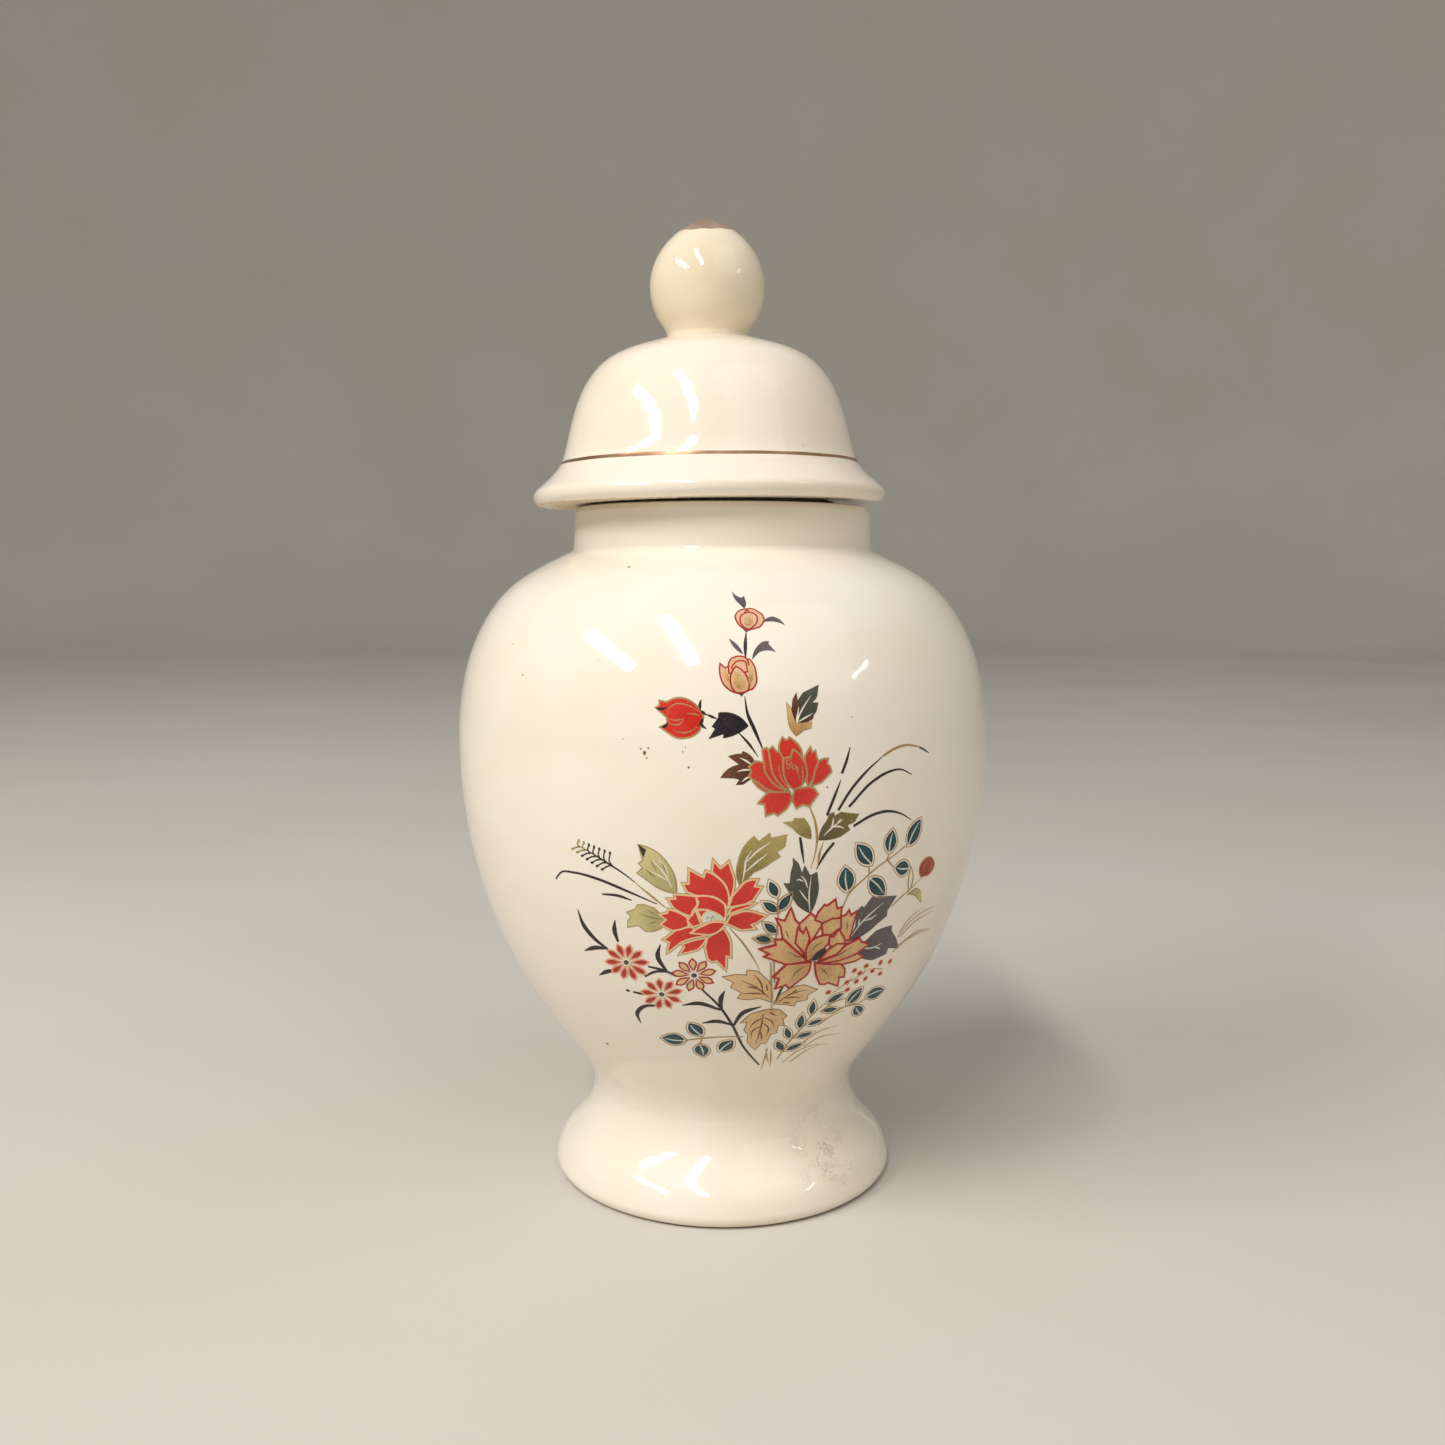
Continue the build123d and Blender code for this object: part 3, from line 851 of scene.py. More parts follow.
# %% Grass at the left
EAR_BASE, EAR_TIP = np.array([-25.6, -22.0]), np.array([-35.4, -17.6])
HAIR_PAIRS, DARK_PAIRS = 7, 5  # the last pairs are green
lines("umber", 0.42, [
    [(-20.2, -25.6), (-23.0, -23.6), (-26.0, -21.9), (-30.0, -19.8), (-34.5, -17.8)],
], ends=(0.5, 0.3))
for count in range(HAIR_PAIRS):
    foot = EAR_BASE + (EAR_TIP - EAR_BASE) * count / HAIR_PAIRS
    colour = "umber" if count < DARK_PAIRS else "olive"
    above = foot + np.array([-0.5 + 0.05 * count, 3.0 - 0.25 * count])
    below = foot + np.array([-2.6 + 0.1 * count, -1.1 + 0.08 * count])
    for end, bend in ((above, (-0.7, 0.9)), (below, (-0.9, -0.1))):
        stroke(colour, [foot, foot + np.array(bend), end], 0.34, (1, 0.8))
        patch(colour, oval(end, 0.85, 0.6, 100 if end is above else 20))
lines("umber", 0.66, [
    [(-15.0, -30.7), (-22.0, -28.0), (-30.0, -25.5), (-36.0, -24.7), (-39.5, -25.0), (-41.4, -27.0)],
    [(-21.0, -30.2), (-24.5, -29.3), (-28.4, -29.3)],
], ends=(0.3, 0.6))

# %% [markdown]
# ## Twigs and daisies
#
# A branching twig carries three daisies. A daisy is one drop-shaped petal repeated round a centre, each a
# little longer or shorter than its neighbour.

# %% Twigs
lines("umber", 1.15, [
    [(-35.4, -34.0), (-34.0, -38.0), (-31.0, -41.5), (-27.6, -43.9)],
    [(-34.2, -45.3), (-31.2, -44.0), (-27.8, -43.7)],
    [(-25.4, -35.7), (-25.6, -38.6), (-24.8, -41.5)],
    [(-14.4, -41.2), (-15.1, -44.4), (-13.0, -48.7)],
    [(-30.5, -52.0), (-28.0, -50.4), (-25.2, -49.9)],
    [(-20.0, -66.0), (-20.8, -62.6), (-19.0, -60.1), (-15.6, -59.3)],
    [(0.5, -53.9), (-0.4, -56.4), (-0.2, -59.7)],
    [(-9.6, -58.7), (-5.6, -57.9), (-0.4, -59.9)],
    [(-4.9, -64.4), (-1.2, -63.7), (2.2, -64.9)],
    [(9.2, -59.1), (4.8, -61.0), (2.6, -65.2)],
], ends=(0.15, 0.5))
lines("umber", 0.66, [
    [(-17.5, -47.6), (-13.2, -48.6), (-10.6, -50.0)],
    [(-18.4, -50.6), (-15.6, -48.9), (-12.6, -48.8)],
    [(-4.8, -53.5), (-0.7, -58.8), (2.3, -65.0), (5.0, -73.0), (9.0, -80.9)],
    [(-23.4, -55.4), (-22.4, -55.6)], [(-21.6, -55.7), (-18.8, -56.2)],
    [(14.4, -52.9), (13.5, -55.0), (12.7, -57.5)],
], ends=(0.7, 0.7))

# %% Daisies
DROP_WIDTH, DROP_STARTS = 1.3, 1.7  # a petal's width, and how far from the centre it begins
DROP_WIDEST = 0.62  # the share of its length where it is widest
DROP_LINE = 0.4
RAY_FROM, RAY_TO, RAY_WIDTH = 0.9, 1.9, 0.22
EYE_RING, EYE = 2.1, 1.4


def daisy(centre, petal_count, reach, fill, line, eye, first=0.0):
    """A ring of drop petals round a dark eye, with a short pale ray at the root of each."""
    middle = np.array(centre)
    for count in range(petal_count):
        angle = first + count * 2 * math.pi / petal_count
        way = np.array([math.cos(angle), math.sin(angle)])
        length = reach * (1 + 0.06 * math.sin(5 * count + 1))
        drop = blade(middle + way * DROP_STARTS, middle + way * length, DROP_WIDTH, DROP_WIDEST)
        patch(line, grown(drop, DROP_LINE), centre)
        patch(fill, drop, centre)
        stroke("lichen", [middle + way * RAY_FROM, middle + way * RAY_TO], RAY_WIDTH)
    patch("bare", oval(centre, EYE_RING, EYE_RING))
    patch(eye, oval(centre, EYE, EYE))


daisy((-22.9, -47.0), 10, 5.1, "brick", "rose", "pine", 0.1)
daisy((-14.4, -55.6), 9, 4.7, "brick", "rose", "pine", 0.3)
daisy((-6.6, -49.4), 9, 4.6, "sand", "crimson", "plum", 0.26)
tell("daisies")

# %% [markdown]
# ## The gold peony and the leaves at its right
#
# The lower flower is filled with a mottled gold brown inside a narrow rose edge and a strong dark red
# line.

# %% Sprig stems, which pass behind the peony
lines("gilt", 0.4, [
    [(28.4, -33.2), (30.3, -29.4), (34.0, -26.3), (38.0, -23.6), (42.0, -21.7), (47.0, -19.2)],
    [(35.6, -25.0), (35.4, -23.2)], [(40.5, -22.3), (41.3, -20.9)], [(40.8, -22.2), (42.8, -24.2)],
    [(13.5, -79.2), (14.6, -76.4), (17.0, -71.6), (19.6, -67.6), (21.8, -63.8), (25.0, -60.4)],
    [(12.2, -52.0), (12.0, -44.0), (12.7, -34.0), (12.6, -28.8)],
    [(24.4, -63.0), (27.0, -60.6), (31.5, -59.5)],
    [(-9.0, -70.8), (-4.6, -69.8), (0.0, -69.2), (5.0, -69.2)],
    [(-5.6, -72.3), (-5.0, -70.2), (-5.2, -68.8)],
    [(27.5, -64.2), (31.0, -62.6), (35.0, -62.4), (38.0, -61.4)],
], ends=(0.9, 0.7))

# %% Gold peony
petals("slate", None, 0, [
    [(30.2, -42.2), (32.3, -38.5), (32.6, -34.4), (33.8, -33.0), (34.6, -33.5), (36.8, -31.0),
     (44.6, -31.9), (41.8, -35.5), (41.8, -36.9), (38.6, -38.8, 0.08)],
    [(33.4, -46.9), (33.8, -44.6), (36.0, -42.5), (38.5, -40.6, 0.05), (43.9, -40.0), (43.8, -41.4),
     (44.9, -42.8), (46.0, -44.4), (47.3, -47.4), (43.3, -46.4), (42.8, -48.1), (38.5, -49.0, 0.06)],
])
lines("frost", 0.44, [
    [(31.2, -41.0), (34.0, -37.6), (37.0, -35.2), (40.4, -33.0)], [(33.2, -38.4), (33.4, -36.4)],
    [(34.6, -37.2), (36.8, -36.8), (38.6, -36.0)], [(34.2, -44.8), (38.0, -45.2), (41.0, -44.4)],
    [(38.8, -45.2), (40.6, -46.0)], [(36.0, -45.0), (36.4, -43.8)],
])
back_petals = [
    [(18.9, -44.4), (16.3, -42.0), (14.1, -39.5), (13.6, -36.5), (12.6, -34.6), (14.4, -35.3),
     (15.7, -32.3), (16.6, -35.0), (17.7, -36.3), (17.2, -39.0)],
    [(19.3, -44.0), (18.0, -42.0), (18.5, -38.6), (18.0, -36.2), (20.6, -33.8), (21.8, -35.0),
     (22.8, -34.9), (23.6, -36.2), (21.2, -40.0)],
]
petals("sand", "crimson", 0.5, back_petals, inner="rose", heart=(21, -46))
front_petals = [
    [(21.9, -35.2), (22.6, -33.5), (24.0, -31.9), (24.6, -32.2), (26.5, -30.9), (27.0, -33.2),
     (28.1, -33.0), (27.9, -35.5), (24.0, -36.2)],
    [(29.2, -41.6), (28.3, -38.5), (28.0, -35.5), (29.7, -35.0), (30.3, -34.2), (30.8, -35.4),
     (32.2, -34.7), (31.4, -38.0), (30.6, -41.4)],
    [(23.9, -39.2), (23.6, -36.6), (26.0, -35.6), (28.0, -35.7), (28.1, -38.0), (27.2, -38.3),
     (25.4, -39.7)],
    [(19.3, -43.6), (17.2, -41.0), (17.6, -37.6), (18.9, -39.0), (19.4, -37.6), (20.2, -40.0)],
    [(27.0, -43.2), (25.6, -42.2), (25.7, -40.4), (26.6, -40.6), (27.8, -38.8), (28.8, -40.5, 0.1),
     (29.3, -42.4)],
    [(20.0, -46.0), (19.8, -43.4, 0.08), (21.2, -40.8, 0.08), (25.2, -39.8), (24.9, -41.8),
     (22.6, -44.6)],
    [(19.5, -46.0), (15.0, -46.5), (10.2, -44.2), (11.4, -43.5), (9.1, -42.2), (12.6, -41.4),
     (12.3, -40.0), (14.0, -40.1), (16.8, -43.2)],
    [(23.6, -46.0), (25.4, -43.9), (27.5, -42.5), (29.4, -42.8), (27.6, -45.0)],
    [(23.0, -47.1), (30.0, -47.0), (33.4, -46.2), (34.6, -47.0), (33.0, -47.8), (28.0, -48.3)],
    [(23.8, -46.9), (27.5, -45.6), (30.0, -43.2), (33.6, -42.0), (34.0, -42.9), (36.0, -43.8),
     (33.0, -45.6, 0.06)],
    [(22.2, -47.3), (22.6, -50.5), (23.6, -53.2), (24.8, -53.4), (25.6, -53.0), (28.1, -54.4),
     (28.3, -51.8), (29.7, -52.0), (29.8, -50.0), (28.6, -48.4), (25.0, -48.0)],
    [(20.6, -46.9), (15.2, -46.9), (13.8, -48.3), (12.3, -50.0), (13.5, -50.5), (12.8, -53.1),
     (15.0, -52.3), (15.7, -53.4), (18.6, -51.0, 0.08), (20.3, -49.0)],
]
petals("honey", "crimson", 0.5, front_petals, inner="rose", heart=(21.5, -46.4))
patch("ink", oval((22.8, -44.7), 4.4, 1.8, 42))
lines("rust", 0.26, [
    [(19.6, -45.2), (17.4, -44.6), (15.4, -43.2)], [(19.0, -47.8), (17.0, -49.4), (16.2, -51.0)],
    [(23.4, -48.4), (25.0, -50.4), (25.8, -52.0)], [(26.0, -46.1), (29.0, -45.0), (32.0, -43.6)],
    [(21.0, -43.6), (22.0, -42.2), (23.8, -41.2)], [(14.6, -37.6), (15.4, -39.8)],
    [(30.0, -36.8), (30.0, -39.0)],
])
tell("gold peony")

# %% [markdown]
# ## Leafy sprigs
#
# Teal leaves in pairs along thin stems. Each is a plain oval, the larger ones split by a bare midrib,
# and a fine gold line runs round it a little way off, so one function draws them all.

# %% Teal leaves
LEAF_WIDEST = 0.46  # the share of a leaf's length where it is widest
RING_OFF, RING_WIDTH = 0.62, 0.24
DARK_OUT, TEAL_IN = 0.14, 0.16
RIB_WIDTH = 0.42


def sprig_leaf(base, tip, width, rib=True):
    """A teal leaf with a dark edge and a gold line round it, and a bare midrib in the larger ones."""
    rim = blade(base, tip, width, LEAF_WIDEST)
    stroke("gilt", grown(rim, RING_OFF), RING_WIDTH, loop=True)
    patch("ink", grown(rim, DARK_OUT))
    patch("teal", grown(rim, -TEAL_IN))
    if rib:
        way = np.array(tip) - np.array(base)
        side = np.array([-way[1], way[0]]) * 0.05
        middle = (np.array(base) + tip) / 2 + side
        stroke("frost", [base - way * 0.02, middle, np.array(tip) - way * 0.08], RIB_WIDTH, (1, 0.3))


sprigs = [  # base, tip and width
    ((29.7, -28.6), (29.0, -22.9), 3.7), ((36.0, -22.5), (32.0, -17.6), 3.6),
    ((41.2, -20.2), (42.1, -15.2), 3.0), ((47.4, -19.2), (51.2, -13.6), 3.6),
    ((36.0, -26.4), (40.4, -31.0), 3.7), ((48.0, -25.3), (43.6, -24.6), 3.3),
    ((-9.2, -70.9), (-14.5, -70.6), 3.5), ((-5.1, -68.6), (-7.9, -64.8), 3.1),
    ((-5.4, -72.4), (-4.6, -76.6), 3.1), ((-0.6, -74.4), (2.4, -70.7), 3.0),
    ((32.0, -61.6), (35.8, -57.4), 2.8), ((38.0, -60.6), (43.9, -59.9), 3.4),
    ((36.6, -66.6), (34.6, -63.4), 3.0),
]
for base, tip, width in sprigs:
    sprig_leaf(base, tip, width)
small_leaves = [
    ((12.3, -28.5), (10.8, -25.2), 1.7), ((12.4, -32.4), (9.4, -30.2), 1.6),
    ((13.1, -31.9), (15.4, -28.6), 1.6), ((12.2, -37.8), (9.7, -35.6), 1.5),
    ((10.9, -39.7), (7.9, -39.3), 1.2), ((14.7, -75.4), (13.4, -72.0), 1.6),
    ((16.4, -70.9), (15.5, -67.3), 1.3), ((18.9, -67.5), (19.4, -63.3), 1.5),
    ((21.8, -63.0), (22.2, -59.2), 1.3), ((16.0, -75.6), (19.7, -73.9), 1.2),
    ((18.6, -71.0), (22.2, -70.1), 1.2), ((21.3, -66.8), (24.8, -65.8), 1.1),
    ((25.2, -62.7), (28.7, -62.6), 1.3), ((26.2, -59.9), (30.1, -57.8), 1.3),
]
for base, tip, width in small_leaves:
    sprig_leaf(base, tip, width, rib=False)
tell("sprigs")

# %% [markdown]
# ## Beige leaves, the small bud, berries and the last fine lines
#
# The lowest leaves are a soft beige with brown veins. Berries are dots with a rose ring, turned a little
# each time by a sine, which keeps a row of them from looking stamped.

# %% Beige leaves
petals("sand", "sepia", 0.2, [
    [(11.6, -57.8), (8.5, -56.3, 0.08), (3.6, -56.2), (4.6, -54.6), (2.0, -52.8), (2.6, -51.4),
     (0.2, -49.8), (3.0, -49.2), (5.6, -49.4), (5.8, -48.0), (8.2, -48.4), (10.8, -51.4, 0.06)],
    [(12.4, -58.4), (13.6, -55.8), (16.2, -54.0, 0.05), (19.6, -53.4), (22.9, -55.2), (20.6, -56.4),
     (20.4, -58.0), (17.6, -58.4), (17.2, -59.6), (15.0, -58.9)],
    [(11.3, -60.2, 0.05), (6.6, -61.6), (4.4, -64.2), (6.0, -64.0), (5.2, -67.0), (6.2, -68.4),
     (6.0, -71.4), (7.9, -74.4), (9.2, -72.0), (10.4, -72.2), (11.6, -68.8), (13.0, -68.4),
     (13.4, -65.6), (14.8, -66.0), (14.4, -63.8), (15.4, -62.8), (13.8, -60.8, 0.05)],
])
lines("sepia", 0.42, [
    [(10.9, -56.2), (8.0, -53.2), (4.4, -50.8)], [(9.6, -54.6), (8.6, -51.0), (7.2, -49.2)],
    [(8.0, -53.4), (5.6, -52.6)], [(9.8, -55.2), (7.0, -54.8), (4.6, -54.9)],
    [(10.6, -54.2), (10.2, -52.0)], [(13.4, -57.8), (16.6, -55.6), (20.4, -54.9)],
    [(15.0, -57.0), (17.0, -56.8), (18.6, -57.2)], [(14.4, -58.2), (16.4, -58.6)],
    [(16.6, -55.6), (17.8, -54.4)], [(9.7, -61.6), (9.2, -66.0), (8.0, -72.4)],
    [(9.4, -63.0), (7.6, -64.2), (6.4, -66.2)], [(9.2, -65.6), (7.2, -67.2), (6.8, -70.0)],
    [(10.0, -62.8), (11.8, -64.2), (12.4, -66.4)], [(9.6, -64.6), (11.0, -66.4), (10.4, -69.6)],
    [(8.9, -67.2), (9.4, -69.2), (9.2, -71.0)], [(11.2, -61.2), (12.8, -62.4)],
], ends=(0.5, 0.2))
lines("gilt", 0.4, [
    [(11.2, -46.0), (11.4, -52.0), (11.6, -57.0), (11.7, -61.2)], [(12.0, -58.0), (13.4, -57.2)],
    [(11.0, -74.0), (10.4, -78.0), (9.6, -83.0)], [(11.8, -75.0), (11.9, -79.0), (11.7, -82.4)],
    [(10.6, -74.4), (11.0, -78.4), (11.4, -80.6)],
], ends=(0.5, 0.3))

# %% Small bud at the right
lines("olive", 0.36, [
    [(43.0, -34.6), (46.0, -32.6), (49.4, -30.8), (53.2, -28.8)],
    [(48.6, -31.6), (48.2, -28.4), (48.8, -25.0)], [(49.4, -30.6), (49.9, -28.0), (48.9, -25.0)],
], ends=(0.7, 0.5))
petals("lichen", "olive", 0.2, [
    [(48.4, -32.2), (51.2, -31.2, 0.12), (53.4, -32.8), (54.0, -35.4), (51.6, -33.2, -0.08)],
])
petals("brick", "gilt", 0.35, [
    [(53.0, -28.2, 0.1), (52.2, -26.2, 0.15), (53.6, -24.2, 0.1), (56.0, -23.8, 0.1), (58.0, -25.6, 0.15),
     (57.0, -27.6, 0.1), (55.2, -28.2)],
])
lines("gilt", 0.3, [
    [(55.8, -24.2), (53.8, -25.8), (53.2, -27.8)], [(55.8, -24.2), (57.0, -25.8), (56.2, -28.0)],
])

# %% Berries and fine lines
berries = [
    (26.0, -56.6), (31.0, -54.4), (31.4, -56.8), (33.0, -51.1), (34.7, -52.2), (33.9, -54.7),
    (36.5, -50.4), (36.7, -54.4), (38.7, -52.4), (41.2, -50.4), (41.5, -53.9), (44.6, -50.8),
]
for number, berry in enumerate(berries):
    slant = 30 + 25 * math.sin(3 * number)
    patch("rose", oval(berry, 1.9, 1.5, slant))
    patch("brick", oval(berry, 1.3, 0.9, slant))
lines("gilt", 0.24, [
    [(26.6, -57.6), (29.0, -55.8), (30.2, -55.0), (34.0, -53.4), (38.0, -51.4)],
    [(31.2, -55.6), (32.4, -52.6)], [(35.6, -53.0), (36.4, -51.2)], [(38.6, -51.6), (42.6, -52.6)],
])
lines("fawn", 0.36, [
    [(46.2, -43.8), (50.0, -40.6), (55.0, -38.6), (61.0, -38.0)],
    [(47.0, -43.9), (52.0, -40.8), (60.0, -39.2)], [(46.6, -42.6), (50.0, -39.2), (55.5, -37.2)],
    [(45.0, -48.0), (49.5, -45.6), (55.0, -44.6), (61.0, -45.0)],
    [(46.5, -46.6), (54.0, -43.9), (60.0, -44.4)],
    [(15.0, -80.8), (19.0, -76.6), (23.0, -75.2), (28.0, -76.2)],
    [(17.0, -81.0), (21.0, -77.2), (25.0, -75.4)], [(20.4, -75.2), (25.0, -72.3), (31.0, -72.6)],
    [(20.2, -73.2), (25.0, -69.8), (30.0, -69.2)], [(24.0, -67.6), (27.0, -65.2), (31.0, -63.6)],
], ends=(0.8, 0.2))
tell("berries and fine lines")

# %% [markdown]
# ## Flecks in the glaze
#
# Bits of iron in the clay and pinholes that caught dirt. They lie in the glaze as the print does, so they
# are laid with the same tools. One by the foot is a burst bubble with a pale rim.

# %% Flecks
patch("bare", oval((-30.7, -77.0), 1.9, 1.6))
flecks = [
    (-30.7, -77.0, 0.9), (-23.0, 53.3, 0.8), (-17.5, 4.5, 1.0), (-18.4, 5.4, 0.5), (-16.6, 5.6, 0.5),
    (-17.0, 3.4, 0.45), (-7.5, 1.5, 0.6), (-8.8, 5.0, 0.4), (-8.2, 6.0, 0.35), (-51.8, 20.6, 0.5),
    (24.0, -3.5, 0.5), (-22.6, 7.4, 0.35), (-57.0, 28.0, 0.35), (-29.0, 25.0, 0.3),
]
for number, (right, up, size) in enumerate(flecks):
    patch("fleck", oval((right, up), size, size * 0.7, 40 * number))
tell("flecks")

# %% [markdown]
# ## Materials: shared helpers
#
# Colours are given as they look, 0 to 255, and turned to the linear values that a renderer needs. `node`
# adds a shader node and plugs in either a constant or another node's output.

# %% Node helpers


def shade(red, green, blue):
    """A colour as it looks, made linear."""
    parts = [c / 255 for c in (red, green, blue)]
    return (*[c / 12.92 if c < 0.04 else ((c + 0.055) / 1.055) ** 2.4 for c in parts], 1.0)


def node(tree, kind, inputs=None, **settings):
    """Add one node; an input given as a socket is linked, anything else is set."""
    made = tree.nodes.new(kind)
    for name, value in settings.items():
        setattr(made, name, value)
    for name, value in (inputs or {}).items():
        if isinstance(value, bpy.types.NodeSocket):
            tree.links.new(value, made.inputs[name])
        else:
            made.inputs[name].default_value = value
    return made


def mixed(tree, share, first, second):
    """First colour where share is 0, second where it is 1; inputs 6 and 7 are the node's colours."""
    made = node(tree, "ShaderNodeMix", {0: share, 6: first, 7: second}, data_type="RGBA")
    return made.outputs[2]


def between(tree, value, low, high, bottom=0.0, top=1.0):
    """A soft step from bottom to top as the value goes from low to high."""
    made = node(
        tree, "ShaderNodeMapRange",
        {"Value": value, "From Min": low, "From Max": high, "To Min": bottom, "To Max": top},
        interpolation_type="SMOOTHSTEP",
    )
    return made.outputs["Result"]


def math_of(tree, operation, first, second):
    """One sum, product or comparison of two values or outputs."""
    return node(tree, "ShaderNodeMath", {0: first, 1: second}, operation=operation).outputs[0]


def noise(tree, scale, detail=2.0, place=None):
    """Soft noise with about this many lumps to a metre, fixed to the piece."""
    inputs = {"Scale": scale, "Detail": detail}
    inputs["Vector"] = place or node(tree, "ShaderNodeTexCoord").outputs["Object"]
    return node(tree, "ShaderNodeTexNoise", inputs).outputs["Fac"]


def shader_group(name, inputs, outputs):
    """A new node group with float inputs (name: default) and outputs, and its two end nodes."""
    tree = bpy.data.node_groups.new(name, "ShaderNodeTree")
    for label, value in inputs.items():
        socket = tree.interface.new_socket(name=label, in_out="INPUT", socket_type="NodeSocketFloat")
        socket.default_value = value
    for label in outputs:
        tree.interface.new_socket(name=label, in_out="OUTPUT", socket_type="NodeSocketFloat")
    return tree, tree.nodes.new("NodeGroupInput"), tree.nodes.new("NodeGroupOutput")


def use_group(tree, group, inputs=None):
    """Place a group in a tree, with its own values for some inputs."""
    made = node(tree, "ShaderNodeGroup", node_tree=group)
    for name, value in (inputs or {}).items():
        made.inputs[name].default_value = value
    return made


def new_material(name):
    """A material with a bare Principled shader, and its tree and shader."""
    material = bpy.data.materials.new(name)
    material.use_nodes = True
    return material, material.node_tree, material.node_tree.nodes["Principled BSDF"]


# %% [markdown]
# ## Group: kiln flaws
#
# What the kiln leaves in every glaze, on the jar, the lid and the knob alike: slow drifts of colour where
# it pooled, a faint orange-peel surface, pinholes, and a few dark iron specks from the clay.

# %% Kiln flaws
kiln_flaws, flaws_in, flaws_out = shader_group(
    "kiln flaws", {"Speck Density": 0.12, "Speck Size": 0.06}, ["Drift", "Specks", "Height"]
)
tree = kiln_flaws
spot = node(tree, "ShaderNodeTexCoord").outputs["Object"]
drift = math_of(tree, "MULTIPLY", noise(tree, 14, 3, spot), noise(tree, 45, 2, spot))
tree.links.new(between(tree, drift, 0.16, 0.40), flaws_out.inputs["Drift"])
cells = node(tree, "ShaderNodeTexVoronoi", {"Vector": spot, "Scale": 105.0, "Randomness": 1.0})
chosen = node(tree, "ShaderNodeSeparateColor", {"Color": cells.outputs["Color"]})
kept = math_of(tree, "LESS_THAN", chosen.outputs["Red"], flaws_in.outputs["Speck Density"])
size = math_of(tree, "MULTIPLY", chosen.outputs["Green"], flaws_in.outputs["Speck Size"])
inside = math_of(tree, "LESS_THAN", cells.outputs["Distance"], size)
specks = math_of(tree, "MULTIPLY", kept, inside)
tree.links.new(specks, flaws_out.inputs["Specks"])
peel = math_of(tree, "MULTIPLY", noise(tree, 160, 1, spot), 0.5)
tree.links.new(math_of(tree, "SUBTRACT", peel, specks), flaws_out.inputs["Height"])
print("kiln flaws:", len(tree.nodes), "nodes")

# %% [markdown]
# ## Ivory glaze
#
# A clear, faintly yellow glaze over white clay gives a warm ivory with a sharp gloss. The ring that stood
# on the kiln shelf, and the seat under the lid, are wiped bare and stay matt and a little sandy. The
# knob's glaze is a darker, yellower ivory than the jar's, the lid came out of the kiln a shade rosier
# than the jar, and the foot has one scuffed, grimy place. The marks are noise in each piece's own space:
# it needs no unwrapping and has no seam, and the bare clay is found by height alone.

# %% Ivory glaze
IVORY, IVORY_DEEP = shade(244, 236, 222), shade(242, 232, 214)
BARE_CLAY, SANDY_CLAY = shade(214, 199, 172), shade(190, 170, 140)
IRON, GRIME = shade(96, 78, 62), shade(112, 94, 70)
SCUFF_CORE, SCUFF_REACH = 3 * MM, 17 * MM
FRAY = 0.6 * MM       # how far the glaze's edge wanders up and down
SOFT_EDGE = 0.1 * MM  # and how gradually it ends
PEEL_DEPTH = 0.06 * MM
GLOSSY, MATT = 0.075, 0.85
SPECK_SHADE, GRIME_SHADE = 0.6, 0.42  # how strongly specks and grime darken the glaze
GLAZE_IOR = 1.52


def ivory_glaze(name, bare_low, bare_high, tones=(IVORY, IVORY_DEEP), scuffed=None):
    """Glaze with bare clay at heights from bare_low to bare_high, and a scuffed place, in metres."""
    material, tree, shader = new_material(name)
    flaws = use_group(tree, kiln_flaws, {"Speck Density": 0.10, "Speck Size": 0.055})
    colour = mixed(tree, flaws.outputs["Drift"], *tones)
    colour = mixed(tree, math_of(tree, "MULTIPLY", flaws.outputs["Specks"], SPECK_SHADE), colour, IRON)
    spot = node(tree, "ShaderNodeTexCoord").outputs["Object"]
    if scuffed:
        away = node(tree, "ShaderNodeVectorMath", {0: spot, 1: scuffed}, operation="DISTANCE")
        near = between(tree, away.outputs["Value"], SCUFF_CORE, SCUFF_REACH, 1.0, 0.0)
        rubbed = math_of(tree, "MULTIPLY", noise(tree, 1700, 3, spot), noise(tree, 200, 3, spot))
        grime = math_of(tree, "MULTIPLY", near, between(tree, rubbed, 0.21, 0.36))
        colour = mixed(tree, math_of(tree, "MULTIPLY", grime, GRIME_SHADE), colour, GRIME)
    height = node(tree, "ShaderNodeSeparateXYZ", {"Vector": spot})
    fray = math_of(tree, "MULTIPLY", math_of(tree, "SUBTRACT", noise(tree, 300, 3), 0.5), FRAY)
    level = math_of(tree, "ADD", height.outputs["Z"], fray)
    above = between(tree, level, bare_low - SOFT_EDGE, bare_low + SOFT_EDGE)
    below = between(tree, level, bare_high - SOFT_EDGE, bare_high + SOFT_EDGE, 1.0, 0.0)
    bare = math_of(tree, "MULTIPLY", above, below)
    grit = between(tree, noise(tree, 1500, 2), 0.35, 0.7)
    clay = mixed(tree, grit, BARE_CLAY, SANDY_CLAY)
    tree.links.new(mixed(tree, bare, colour, clay), shader.inputs["Base Color"])
    tree.links.new(between(tree, bare, 0, 1, GLOSSY, MATT), shader.inputs["Roughness"])
    peel = {"Height": flaws.outputs["Height"], "Strength": 0.35, "Distance": PEEL_DEPTH}
    bump = node(tree, "ShaderNodeBump", peel)
    tree.links.new(bump.outputs["Normal"], shader.inputs["Normal"])
    shader.inputs["IOR"].default_value = GLAZE_IOR
    return material


